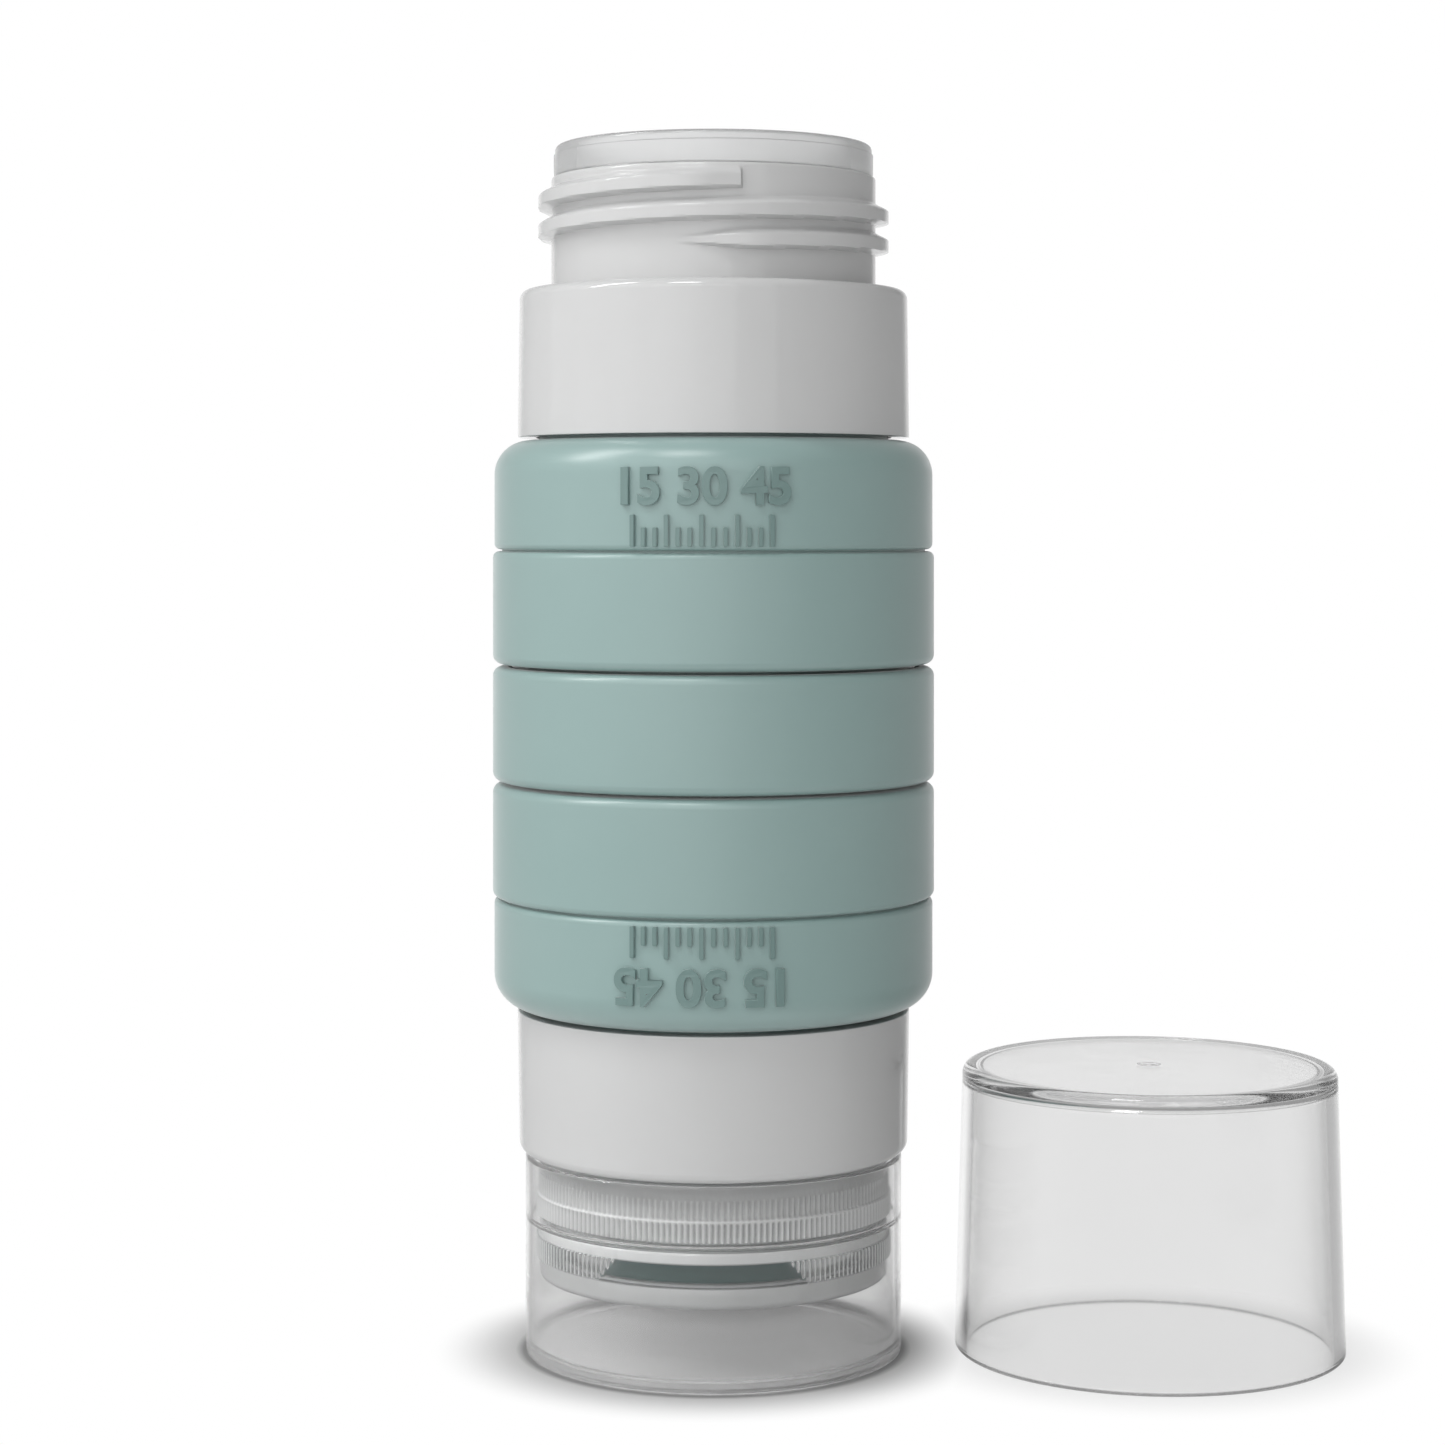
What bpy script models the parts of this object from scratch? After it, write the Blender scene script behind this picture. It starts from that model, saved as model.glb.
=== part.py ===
# Double-ended travel squeeze bottle.
# Metres, +Z up. The origin is on the bottle's axis, on the surface that it stands on, and -Y is the front.
import math

import bmesh
import bpy
from mathutils import Matrix, Vector

# Fits and facets
FIT = 0.0003  # gap between neighbouring pieces
WELD = 0.000001
TURN_STEPS = 32
THREAD_STEPS = 32  # per turn
SHARP_ANGLE = math.radians(35)
OVERRUN = 0.001  # how far a cutter runs past what it cuts
RUN_SHARE = 0.98  # of a straight run, that one fillet may take
SHARED_RUN_SHARE = 0.49

# Soft sleeves and the band between them
BAND_RADIUS = 0.0220
END_BAND_EASE = 0.00015  # how much smaller the outermost bands are
BODY_HALF_HEIGHT = 0.0284  # from the middle of the bottle to the end of a sleeve's shoulder
MIDDLE_BAND_HEIGHT = 0.0116
MOULDED_GROOVE_HEIGHT = 0.0172  # from the middle of the bottle
MOULDED_GROOVE_DEPTH = 0.0006
MOULDED_GROOVE_WIDTH = 0.0003
SLEEVE_WALL = 0.0020
MOUTH_TUBE_WALL = 0.0019
BAND_EDGE_FILLET = 0.0009
SHOULDER_FILLET = 0.0034
CHAMBER_FILLET = 0.0012

# Coupling hub between the two sleeves
MIDDLE_BAND_WALL = 0.0015
HUB_WALL = 0.0014
HUB_WEB = 0.0015
SNAP_DEPTH = 0.0006
SNAP_LAND = 0.0008
SNAP_RUN_IN = 0.0003
SNAP_HEIGHT = 0.0034  # from the middle of the bottle

# Collars with their threaded necks
COLLAR_STEP = 0.00265  # from the widest band in to the outer end of a collar
COLLAR_DRAFT = 0.0002  # how much wider a collar is at its open edge
COLLAR_WALL = 0.0016
COLLAR_END_WALL = 0.0015
COLLAR_EDGE_FILLET = 0.0010
UPPER_COLLAR_HEIGHT = 0.0147
LOWER_COLLAR_HEIGHT = 0.0140
SKIRT_WALL = 0.0015
SKIRT_REACH = 0.0014  # past the collar's open edge, into the sleeve
NECK_STEP = 0.00315  # from the collar's outer end in to the upper neck
NECK_WALL = 0.0015
NECK_EDGE_FILLET = 0.0003
NECK_RIM_MARGIN = 0.00027  # plain neck between the thread and the rim

# Threads: the upper neck's coarse bead, and the finer one that the closure screws on
UPPER_PITCH = 0.0029
UPPER_THREAD_TURNS = 2.06
UPPER_THREAD_START_ANGLE = math.radians(-103)
UPPER_THREAD_START = 0.0038  # above the collar
UPPER_THREAD_DEPTH = 0.0013
UPPER_THREAD_ROOT = 0.0023
UPPER_THREAD_CREST = 0.0011
LOWER_PITCH = 0.0030
LOWER_THREAD_TURNS = 1.05
LOWER_THREAD_START = 0.0013  # from the rim of the neck
LOWER_THREAD_START_ANGLE = math.radians(30)
LOWER_THREAD_DEPTH = 0.0012
LOWER_THREAD_ROOT = 0.0014
LOWER_THREAD_CREST = 0.0007
CAP_THREAD_START = 0.0017  # from the ledge in the cap
CAP_THREAD_TURNS = 1.10
THREAD_CREST_FIT = 0.00035
THREAD_SINK = 0.0006  # how deep a bead's root runs into its wall
RUN_OUT_STEPS = 4
RUN_OUT_SHARE = 0.3  # of the bead's height, left at its very end

# Mouth liner
LIP_HEIGHT = 0.0029
LIP_STEP = 0.00025  # from the neck in to the lip
LIP_FILLET = 0.0007
LINER_WALL = 0.0010
LINER_SEAT = 0.0005  # above the collar

# Clear end cap
END_CAP_STEP = 0.0006  # from the collar in to the cap
END_CAP_WALL = 0.0012
END_CAP_FLOOR = 0.0013
END_CAP_ROOM = 0.0064  # between its floor and the closure
END_CAP_FILLET = 0.0009

# Screw closure, from its end upwards
CLOSURE_HEIGHT = 0.0120
END_RING_HEIGHT = 0.0021
LOWER_GRIP_HEIGHT = 0.0023
PLAIN_BEAD_HEIGHT = 0.0011
GROOVE_HEIGHT = 0.0009
UPPER_GRIP_HEIGHT = 0.0041
CLOSURE_END_WALL = 0.0018
CLOSURE_WALL = 0.00115
CLOSURE_EDGE_FILLET = 0.0007
GROOVE_DEPTH = 0.0006
GRIP_DEPTH = 0.00032
GRIP_SINK = 0.00015  # how deep the feet of the ribs run into the wall
GRIP_FIT = 0.00033
GRIP_RIBS = 64
WINDOW_HALF_ANGLE = math.radians(33)
FRONT_ANGLE = math.radians(-90)

# Pieces inside the closure
LEDGE_WIDTH = 0.00125  # from the thread's bore in to the valve's seat
ORIFICE_RADIUS = 0.0070
VALVE_THICKNESS = 0.0023
VALVE_MEMBRANE = 0.0010
VALVE_DOME_FIT = 0.0004
VALVE_DOME_DEPTH = 0.0009
SLIT_SHARE = 0.58  # of the dome's width
SLIT_WIDTH = 0.0003
RETAINER_THICKNESS = 0.0009
RETAINER_WIDTH = 0.0050
WASHER_THICKNESS = 0.0007
WASHER_WIDTH = 0.00355

# Travel cap that stands beside the bottle
TRAVEL_CAP_HEIGHT = 0.0282
TRAVEL_CAP_WALL = 0.0012
TRAVEL_CAP_TAPER = 0.0008  # how much smaller its top is than its rim
TRAVEL_CAP_FIT = 0.0007  # round the thread that it goes over
TRAVEL_CAP_FILLET = 0.0010
TRAVEL_CAP_GAP = 0.00215  # from the widest band to the cap's rim

# Radii that follow, from the bands inwards
COLLAR_END_RADIUS = BAND_RADIUS - COLLAR_STEP
COLLAR_RADIUS = COLLAR_END_RADIUS + COLLAR_DRAFT
SOCKET_RADIUS = COLLAR_END_RADIUS - COLLAR_WALL
MOUTH_TUBE_RADIUS = SOCKET_RADIUS - FIT
MOUTH_TUBE_BORE = MOUTH_TUBE_RADIUS - MOUTH_TUBE_WALL
SKIRT_RADIUS = MOUTH_TUBE_BORE - FIT
SKIRT_BORE = SKIRT_RADIUS - SKIRT_WALL
UPPER_NECK_RADIUS = COLLAR_END_RADIUS - NECK_STEP
HUB_RADIUS = BAND_RADIUS - MIDDLE_BAND_WALL - FIT
HUB_SOCKET_RADIUS = HUB_RADIUS - HUB_WALL
TAIL_RADIUS = HUB_SOCKET_RADIUS - FIT
END_CAP_RADIUS = COLLAR_END_RADIUS - END_CAP_STEP
END_CAP_BORE = END_CAP_RADIUS - END_CAP_WALL
CLOSURE_RADIUS = END_CAP_BORE - GRIP_FIT - GRIP_DEPTH
CLOSURE_BORE = CLOSURE_RADIUS - CLOSURE_WALL
LOWER_NECK_RADIUS = CLOSURE_BORE - THREAD_CREST_FIT - LOWER_THREAD_DEPTH
VALVE_SEAT_RADIUS = CLOSURE_BORE - LEDGE_WIDTH
VALVE_RADIUS = VALVE_SEAT_RADIUS - FIT
RETAINER_BORE = VALVE_RADIUS - RETAINER_WIDTH
TRAVEL_CAP_BORE = UPPER_NECK_RADIUS + UPPER_THREAD_DEPTH + TRAVEL_CAP_FIT
TRAVEL_CAP_RIM_RADIUS = TRAVEL_CAP_BORE + TRAVEL_CAP_WALL

# Heights that follow, from the base upwards
CLOSURE_BASE = END_CAP_FLOOR + END_CAP_ROOM
CLOSURE_RIM = CLOSURE_BASE + CLOSURE_HEIGHT
VALVE_BASE = CLOSURE_BASE + CLOSURE_END_WALL + FIT
VALVE_TOP = VALVE_BASE + VALVE_THICKNESS
RETAINER_TOP = VALVE_TOP + FIT + RETAINER_THICKNESS
WASHER_BASE = RETAINER_TOP + FIT
LOWER_NECK_RIM = WASHER_BASE + WASHER_THICKNESS + FIT
LOWER_COLLAR_BASE = CLOSURE_RIM + FIT
MIDDLE_HEIGHT = LOWER_COLLAR_BASE + LOWER_COLLAR_HEIGHT + BODY_HALF_HEIGHT
UPPER_COLLAR_TOP = MIDDLE_HEIGHT + BODY_HALF_HEIGHT + UPPER_COLLAR_HEIGHT
UPPER_THREAD_END = UPPER_COLLAR_TOP + UPPER_THREAD_START + UPPER_PITCH * UPPER_THREAD_TURNS
UPPER_NECK_RIM = UPPER_THREAD_END + UPPER_THREAD_ROOT / 2 + NECK_RIM_MARGIN

# Colours, roughness
SAGE = (0.262, 0.392, 0.366, 1)
WHITE = (0.76, 0.77, 0.77, 1)
FROSTED = (0.80, 0.81, 0.81, 1)
CLEAR = (0.90, 0.92, 0.92, 1)
PALE_SEAL = (0.66, 0.68, 0.67, 1)


def make_material(name, colour, roughness, transmission=0.0):
    """Plain surface of one colour, which lets light through where transmission is above zero."""
    material = bpy.data.materials.new(name)
    material.use_nodes = True
    shader = material.node_tree.nodes["Principled BSDF"]
    shader.inputs["Base Color"].default_value = colour
    shader.inputs["Roughness"].default_value = roughness
    shader.inputs["Metallic"].default_value = 0
    shader.inputs["Transmission Weight"].default_value = transmission
    return material


def clear_scene():
    for old in list(bpy.data.objects):
        bpy.data.objects.remove(old)


def make_collection(name):
    collection = bpy.data.collections.new(name)
    bpy.context.scene.collection.children.link(collection)
    return collection


def point_in(outline, index):
    corner = outline[index % len(outline)]
    return Vector((corner[0], corner[1]))


def room(outline, neighbour, run):
    """How much of a run a fillet may take, less where the neighbouring corner has a fillet too."""
    is_shared = len(outline[neighbour % len(outline)]) > 2
    return run.length * (SHARED_RUN_SHARE if is_shared else RUN_SHARE)


def filleted(outline):
    """Points of a closed outline whose corners (radius, height, fillet, steps) are rounded by arcs."""
    points = []
    for index, corner in enumerate(outline):
        here = point_in(outline, index)
        if len(corner) == 2:
            points.append(here)
            continue
        fillet, steps = corner[2:]
        before = point_in(outline, index - 1) - here
        after = point_in(outline, index + 1) - here
        half = before.angle(after) / 2
        rooms = (room(outline, index - 1, before), room(outline, index + 1, after))
        reach = min(fillet / math.tan(half), *rooms)
        radius = reach * math.tan(half)
        centre = here + (before.normalized() + after.normalized()).normalized() * radius / math.sin(half)
        start = here + before.normalized() * reach - centre
        sweep = start.angle_signed(here + after.normalized() * reach - centre)
        for step in range(steps + 1):
            points.append(centre + Matrix.Rotation(-sweep * step / steps, 2) @ start)
    return points


def runs_down(points):
    """Whether a closed outline runs down its outer side."""
    area = 0
    for index, here in enumerate(points):
        after = points[(index + 1) % len(points)]
        area += here.x * after.y - after.x * here.y
    return area < 0


def turned(name, outline, material, collection, solid_centre=False):
    """Turned solid from a closed outline of corners. With a solid centre, its first and last are on the axis."""
    points = filleted(outline)
    if not runs_down(points):
        points.reverse()
    if solid_centre:
        # The run starts at the axis, so that the edge along the axis is the one left out.
        while points[0].x > WELD or points[-1].x > WELD:
            points.append(points.pop(0))
    mesh = bpy.data.meshes.new(name)
    edges = [(index, index + 1) for index in range(len(points) - 1)]
    if not solid_centre:
        edges.append((len(points) - 1, 0))
    mesh.from_pydata([(point.x, 0, point.y) for point in points], edges, [])
    mesh.materials.append(material)
    obj = bpy.data.objects.new(name, mesh)
    collection.objects.link(obj)
    screw = obj.modifiers.new("turn", "SCREW")
    screw.steps = TURN_STEPS
    screw.render_steps = TURN_STEPS
    screw.use_merge_vertices = True
    screw.merge_threshold = WELD
    return obj


def helper(name, mesh, collection):
    """Object that only shapes another."""
    obj = bpy.data.objects.new(name, mesh)
    collection.objects.link(obj)
    obj.hide_render = True
    obj.display_type = "WIRE"
    return obj


def mesh_of_curve(curve, name):
    """Closed mesh of a curve, with its caps welded to its sides."""
    holder = bpy.data.objects.new(name, curve)
    bpy.context.scene.collection.objects.link(holder)
    graph = bpy.context.evaluated_depsgraph_get()
    mesh = bpy.data.meshes.new_from_object(holder.evaluated_get(graph))
    bpy.data.objects.remove(holder)
    work = bmesh.new()
    work.from_mesh(mesh)
    bmesh.ops.remove_doubles(work, verts=work.verts, dist=WELD)
    bmesh.ops.recalc_face_normals(work, faces=work.faces)
    work.to_mesh(mesh)
    work.free()
    return mesh


def combine(obj, other, operation):
    boolean = obj.modifiers.new(other.name, "BOOLEAN")
    boolean.operation = operation
    boolean.object = other


def finish(obj):
    """Give an object the mesh that its profile and modifiers make, shaded smooth up to its sharp edges."""
    graph = bpy.context.evaluated_depsgraph_get()
    mesh = bpy.data.meshes.new_from_object(obj.evaluated_get(graph))
    obj.modifiers.clear()
    obj.data = mesh
    mesh.shade_smooth()
    mesh.set_sharp_from_angle(angle=SHARP_ANGLE)


def thread_bead(name, wall_radius, depth, root, crest, start, start_angle, turns, pitch, collection):
    """Right-handed helical bead on a wall. A negative depth puts it on the inside of a bore."""
    side = math.copysign(1, depth)
    section = [
        (-THREAD_SINK * side, -root / 2),
        (-THREAD_SINK * side, root / 2),
        (0, root / 2),
        (depth, crest / 2),
        (depth, -crest / 2),
        (0, -root / 2),
    ]
    steps = round(turns * THREAD_STEPS)
    work = bmesh.new()
    last = []
    for step in range(steps + 1):
        turn = turns * step / steps
        angle = start_angle + math.tau * turn
        from_end = min(step, steps - step)
        scale = min(1, RUN_OUT_SHARE + (1 - RUN_OUT_SHARE) * from_end / RUN_OUT_STEPS)
        ring = []
        for out, up in section:
            radius = wall_radius + (out * scale if out * side > 0 else out)
            height = start + pitch * turn + up * scale
            ring.append(work.verts.new((radius * math.cos(angle), radius * math.sin(angle), height)))
        for index in range(len(section)):
            if last:
                after = (index + 1) % len(section)
                work.faces.new((last[index], last[after], ring[after], ring[index]))
        if from_end == 0:
            work.faces.new(ring)
        last = ring
    bmesh.ops.recalc_face_normals(work, faces=work.faces)
    mesh = bpy.data.meshes.new(name)
    work.to_mesh(mesh)
    work.free()
    return helper(name, mesh, collection)


def grip_ring(name, base, top, window_half_angle, collection):
    """Ring of fine upright ribs, smooth inside the window at the front."""
    curve = bpy.data.curves.new(name, "CURVE")
    curve.dimensions = "2D"
    curve.fill_mode = "BOTH"
    curve.extrude = (top - base) / 2
    count = GRIP_RIBS * 2
    root_radius = CLOSURE_RADIUS - GRIP_SINK
    inner_radius = (root_radius + CLOSURE_BORE) / 2
    for outer in (True, False):
        spline = curve.splines.new("POLY")
        spline.points.add(count - 1)
        spline.use_cyclic_u = True
        for index, point in enumerate(spline.points):
            angle = math.tau * index / count
            from_front = abs((angle - FRONT_ANGLE + math.pi) % math.tau - math.pi)
            is_crest = index % 2 == 1 and from_front > window_half_angle
            radius = inner_radius
            if outer:
                radius = CLOSURE_RADIUS + GRIP_DEPTH if is_crest else root_radius
            point.co = (radius * math.cos(angle), radius * math.sin(angle), 0, 1)
    mesh = mesh_of_curve(curve, name)
    mesh.transform(Matrix.Translation((0, 0, (top + base) / 2)))
    return helper(name, mesh, collection)


def slit_cutter(name, angle, top, bottom, collection):
    """Thin upright box through the middle of the valve."""
    work = bmesh.new()
    bmesh.ops.create_cube(work, size=1)
    length = 2 * SLIT_SHARE * (ORIFICE_RADIUS - VALVE_DOME_FIT)
    scale = Matrix.Diagonal((length, SLIT_WIDTH, top - bottom + 2 * OVERRUN, 1))
    place = Matrix.Translation((0, 0, (top + bottom) / 2)) @ Matrix.Rotation(angle, 4, "Z")
    bmesh.ops.transform(work, matrix=place @ scale, verts=work.verts)
    mesh = bpy.data.meshes.new(name)
    work.to_mesh(mesh)
    work.free()
    return helper(name, mesh, collection)


def make_sleeve(name, end, material, collection):
    """Soft chamber with two bands. end is 1 for the upper one and -1 for the lower one."""
    collar_height = UPPER_COLLAR_HEIGHT if end > 0 else LOWER_COLLAR_HEIGHT
    mouth = BODY_HALF_HEIGHT + collar_height - COLLAR_END_WALL - FIT
    top = BODY_HALF_HEIGHT - FIT
    foot = MIDDLE_BAND_HEIGHT / 2 + FIT / 2
    tail = HUB_WEB / 2 + FIT
    lip = MOULDED_GROOVE_WIDTH / 2
    end_radius = BAND_RADIUS - END_BAND_EASE
    groove_radius = BAND_RADIUS - MOULDED_GROOVE_DEPTH
    snap = SNAP_HEIGHT
    floor = tail + SLEEVE_WALL
    outline = [
        (MOUTH_TUBE_RADIUS, mouth),
        (MOUTH_TUBE_RADIUS, top),
        (end_radius, top, SHOULDER_FILLET, 3),
        (end_radius, MOULDED_GROOVE_HEIGHT + lip + end_radius - groove_radius),
        (groove_radius, MOULDED_GROOVE_HEIGHT + lip),
        (groove_radius, MOULDED_GROOVE_HEIGHT - lip),
        (BAND_RADIUS, MOULDED_GROOVE_HEIGHT - lip - MOULDED_GROOVE_DEPTH),
        (BAND_RADIUS, foot, BAND_EDGE_FILLET, 2),
        (TAIL_RADIUS, foot),
        (TAIL_RADIUS, snap + SNAP_LAND / 2 + SNAP_RUN_IN),
        (TAIL_RADIUS + SNAP_DEPTH, snap + SNAP_LAND / 2),
        (TAIL_RADIUS + SNAP_DEPTH, snap - SNAP_LAND / 2),
        (TAIL_RADIUS, snap - SNAP_LAND / 2 - SNAP_RUN_IN),
        (TAIL_RADIUS, tail),
        (0, tail),
        (0, floor),
        (TAIL_RADIUS - SLEEVE_WALL, floor, CHAMBER_FILLET, 1),
        (TAIL_RADIUS - SLEEVE_WALL, foot + SLEEVE_WALL),
        (end_radius - SLEEVE_WALL, foot + SLEEVE_WALL, CHAMBER_FILLET, 1),
        (end_radius - SLEEVE_WALL, top - SLEEVE_WALL, SHOULDER_FILLET - SLEEVE_WALL / 2, 1),
        (MOUTH_TUBE_BORE, top - SLEEVE_WALL),
        (MOUTH_TUBE_BORE, mouth),
    ]
    placed = [(corner[0], MIDDLE_HEIGHT + end * corner[1], *corner[2:]) for corner in outline]
    return turned(name, placed, material, collection, solid_centre=True)


def make_middle_band(material, collection):
    half = MIDDLE_BAND_HEIGHT / 2 - FIT / 2
    outline = [
        (BAND_RADIUS, half, BAND_EDGE_FILLET, 2),
        (BAND_RADIUS, -half, BAND_EDGE_FILLET, 2),
        (BAND_RADIUS - MIDDLE_BAND_WALL, -half),
        (BAND_RADIUS - MIDDLE_BAND_WALL, half),
    ]
    placed = [(corner[0], MIDDLE_HEIGHT + corner[1], *corner[2:]) for corner in outline]
    return turned("middle_band", placed, material, collection)


def make_hub(material, collection):
    """Rigid hub with a socket on each side, whose grooves hold the snap beads of the sleeves."""
    groove = SNAP_LAND / 2 + FIT
    half = MIDDLE_BAND_HEIGHT / 2 - FIT / 2
    half_outline = [
        (0, HUB_WEB / 2),
        (HUB_SOCKET_RADIUS, HUB_WEB / 2),
        (HUB_SOCKET_RADIUS, SNAP_HEIGHT - groove - SNAP_RUN_IN),
        (HUB_SOCKET_RADIUS + SNAP_DEPTH, SNAP_HEIGHT - groove),
        (HUB_SOCKET_RADIUS + SNAP_DEPTH, SNAP_HEIGHT + groove),
        (HUB_SOCKET_RADIUS, SNAP_HEIGHT + groove + SNAP_RUN_IN),
        (HUB_SOCKET_RADIUS, half),
        (HUB_RADIUS, half),
    ]
    upper = [(radius, MIDDLE_HEIGHT + height) for radius, height in half_outline]
    lower = [(radius, MIDDLE_HEIGHT - height) for radius, height in reversed(half_outline)]
    return turned("coupling_hub", upper + lower, material, collection, solid_centre=True)


def collar_outline(end, collar_height, neck_radius, neck_rim):
    """Half section of a collar with its neck outside and its skirt inside, as heights above the base."""
    edge = MIDDLE_HEIGHT + end * BODY_HALF_HEIGHT
    face = edge + end * collar_height
    ceiling = face - end * COLLAR_END_WALL
    skirt = edge - end * SKIRT_REACH
    seat = face + end * LINER_SEAT
    bore = neck_radius - NECK_WALL
    return [
        (neck_radius, neck_rim, NECK_EDGE_FILLET, 1),
        (neck_radius, face),
        (COLLAR_END_RADIUS, face, COLLAR_EDGE_FILLET, 2),
        (COLLAR_RADIUS, edge),
        (SOCKET_RADIUS, edge),
        (SOCKET_RADIUS, ceiling),
        (SKIRT_RADIUS, ceiling),
        (SKIRT_RADIUS, skirt),
        (SKIRT_BORE, skirt),
        (SKIRT_BORE, seat),
        (bore, seat),
        (bore, neck_rim),
    ]


def make_upper_collar(material, collection, cutters):
    outline = collar_outline(1, UPPER_COLLAR_HEIGHT, UPPER_NECK_RADIUS, UPPER_NECK_RIM)
    collar = turned("upper_collar", outline, material, collection)
    bead = thread_bead(
        "upper_thread", UPPER_NECK_RADIUS, UPPER_THREAD_DEPTH, UPPER_THREAD_ROOT, UPPER_THREAD_CREST,
        UPPER_COLLAR_TOP + UPPER_THREAD_START, UPPER_THREAD_START_ANGLE, UPPER_THREAD_TURNS, UPPER_PITCH, cutters,
    )
    combine(collar, bead, "UNION")
    finish(collar)


def make_lower_collar(material, collection, cutters):
    outline = collar_outline(-1, LOWER_COLLAR_HEIGHT, LOWER_NECK_RADIUS, LOWER_NECK_RIM)
    collar = turned("lower_collar", outline, material, collection)
    bead = thread_bead(
        "lower_thread", LOWER_NECK_RADIUS, LOWER_THREAD_DEPTH, LOWER_THREAD_ROOT, LOWER_THREAD_CREST,
        LOWER_NECK_RIM + LOWER_THREAD_START, LOWER_THREAD_START_ANGLE, LOWER_THREAD_TURNS, LOWER_PITCH, cutters,
    )
    combine(collar, bead, "UNION")
    finish(collar)


def make_liner(material, collection):
    """Translucent liner whose lip stands on the rim of the upper neck."""
    lip_base = UPPER_NECK_RIM + FIT
    lip_top = lip_base + LIP_HEIGHT
    outer = UPPER_NECK_RADIUS - NECK_WALL - FIT
    inner = outer - LINER_WALL
    foot = UPPER_COLLAR_TOP + LINER_SEAT + FIT
    outline = [
        (UPPER_NECK_RADIUS - LIP_STEP, lip_top, LIP_FILLET, 2),
        (UPPER_NECK_RADIUS - LIP_STEP, lip_base),
        (outer, lip_base),
        (outer, foot),
        (inner, foot),
        (inner, lip_top),
    ]
    return turned("mouth_liner", outline, material, collection)


def make_dispensing_cap(material, collection, cutters):
    """Clear screw cap with two tiers of grip ribs, a plain window at the front and an orifice in its end."""
    lower_grip = CLOSURE_BASE + END_RING_HEIGHT
    groove_base = lower_grip + LOWER_GRIP_HEIGHT + PLAIN_BEAD_HEIGHT
    upper_grip = groove_base + GROOVE_HEIGHT
    outline = [
        (CLOSURE_RADIUS, CLOSURE_RIM, NECK_EDGE_FILLET, 1),
        (CLOSURE_RADIUS, upper_grip),
        (CLOSURE_RADIUS - GROOVE_DEPTH, upper_grip),
        (CLOSURE_RADIUS - GROOVE_DEPTH, groove_base),
        (CLOSURE_RADIUS, groove_base),
        (CLOSURE_RADIUS, CLOSURE_BASE, CLOSURE_EDGE_FILLET, 2),
        (ORIFICE_RADIUS, CLOSURE_BASE),
        (ORIFICE_RADIUS, CLOSURE_BASE + CLOSURE_END_WALL),
        (VALVE_SEAT_RADIUS, CLOSURE_BASE + CLOSURE_END_WALL),
        (VALVE_SEAT_RADIUS, RETAINER_TOP),
        (CLOSURE_BORE, RETAINER_TOP),
        (CLOSURE_BORE, CLOSURE_RIM),
    ]
    cap = turned("dispensing_cap", outline, material, collection)
    combine(cap, grip_ring("upper_grip", upper_grip, upper_grip + UPPER_GRIP_HEIGHT, 0, cutters), "UNION")
    ring = grip_ring("lower_grip", lower_grip, lower_grip + LOWER_GRIP_HEIGHT, WINDOW_HALF_ANGLE, cutters)
    combine(cap, ring, "UNION")
    start = RETAINER_TOP + CAP_THREAD_START
    # Half a pitch away from the bead on the neck at every angle
    between = (start - LOWER_NECK_RIM - LOWER_THREAD_START) / LOWER_PITCH - 0.5
    bead = thread_bead(
        "cap_thread", CLOSURE_BORE, -LOWER_THREAD_DEPTH, LOWER_THREAD_ROOT, LOWER_THREAD_CREST,
        start, LOWER_THREAD_START_ANGLE + math.tau * between, CAP_THREAD_TURNS, LOWER_PITCH, cutters,
    )
    combine(cap, bead, "UNION")
    finish(cap)


def make_valve(material, collection, cutters):
    """Soft disc with a slit dome, whose flange lies on the end wall of the cap."""
    dome_radius = ORIFICE_RADIUS - VALVE_DOME_FIT
    dome = VALVE_BASE - VALVE_DOME_DEPTH
    outline = [
        (VALVE_RADIUS, VALVE_TOP),
        (VALVE_RADIUS, VALVE_BASE),
        (dome_radius, VALVE_BASE),
        (dome_radius, dome, VALVE_DOME_DEPTH, 2),
        (0, dome),
        (0, dome + VALVE_MEMBRANE),
        (dome_radius - VALVE_MEMBRANE, dome + VALVE_MEMBRANE),
        (RETAINER_BORE, VALVE_TOP),
    ]
    valve = turned("valve", outline, material, collection, solid_centre=True)
    for index in range(2):
        angle = math.pi / 4 + index * math.pi / 2
        combine(valve, slit_cutter(f"slit_{index}", angle, dome + VALVE_MEMBRANE, dome, cutters), "DIFFERENCE")
    finish(valve)


def flat_ring(name, radius, bore, base, top, material, collection):
    outline = [(radius, top), (radius, base), (bore, base), (bore, top)]
    return turned(name, outline, material, collection)


def make_retainer(material, collection):
    """Ring that holds the valve in the cap."""
    base = VALVE_TOP + FIT
    return flat_ring("valve_retainer", VALVE_RADIUS, RETAINER_BORE, base, RETAINER_TOP, material, collection)


def make_washer(material, collection):
    """Flat seal between the ledge of the cap and the rim of the neck."""
    radius = CLOSURE_BORE - FIT
    top = WASHER_BASE + WASHER_THICKNESS
    return flat_ring("sealing_washer", radius, radius - WASHER_WIDTH, WASHER_BASE, top, material, collection)


def make_end_cap(material, collection):
    """Clear straight cap that the bottle stands on."""
    outline = [
        (END_CAP_RADIUS, CLOSURE_RIM, NECK_EDGE_FILLET, 1),
        (END_CAP_RADIUS, 0, END_CAP_FILLET, 2),
        (0, 0),
        (0, END_CAP_FLOOR),
        (END_CAP_BORE, END_CAP_FLOOR, END_CAP_FILLET, 1),
        (END_CAP_BORE, CLOSURE_RIM),
    ]
    return turned("end_cap", outline, material, collection, solid_centre=True)


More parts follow.
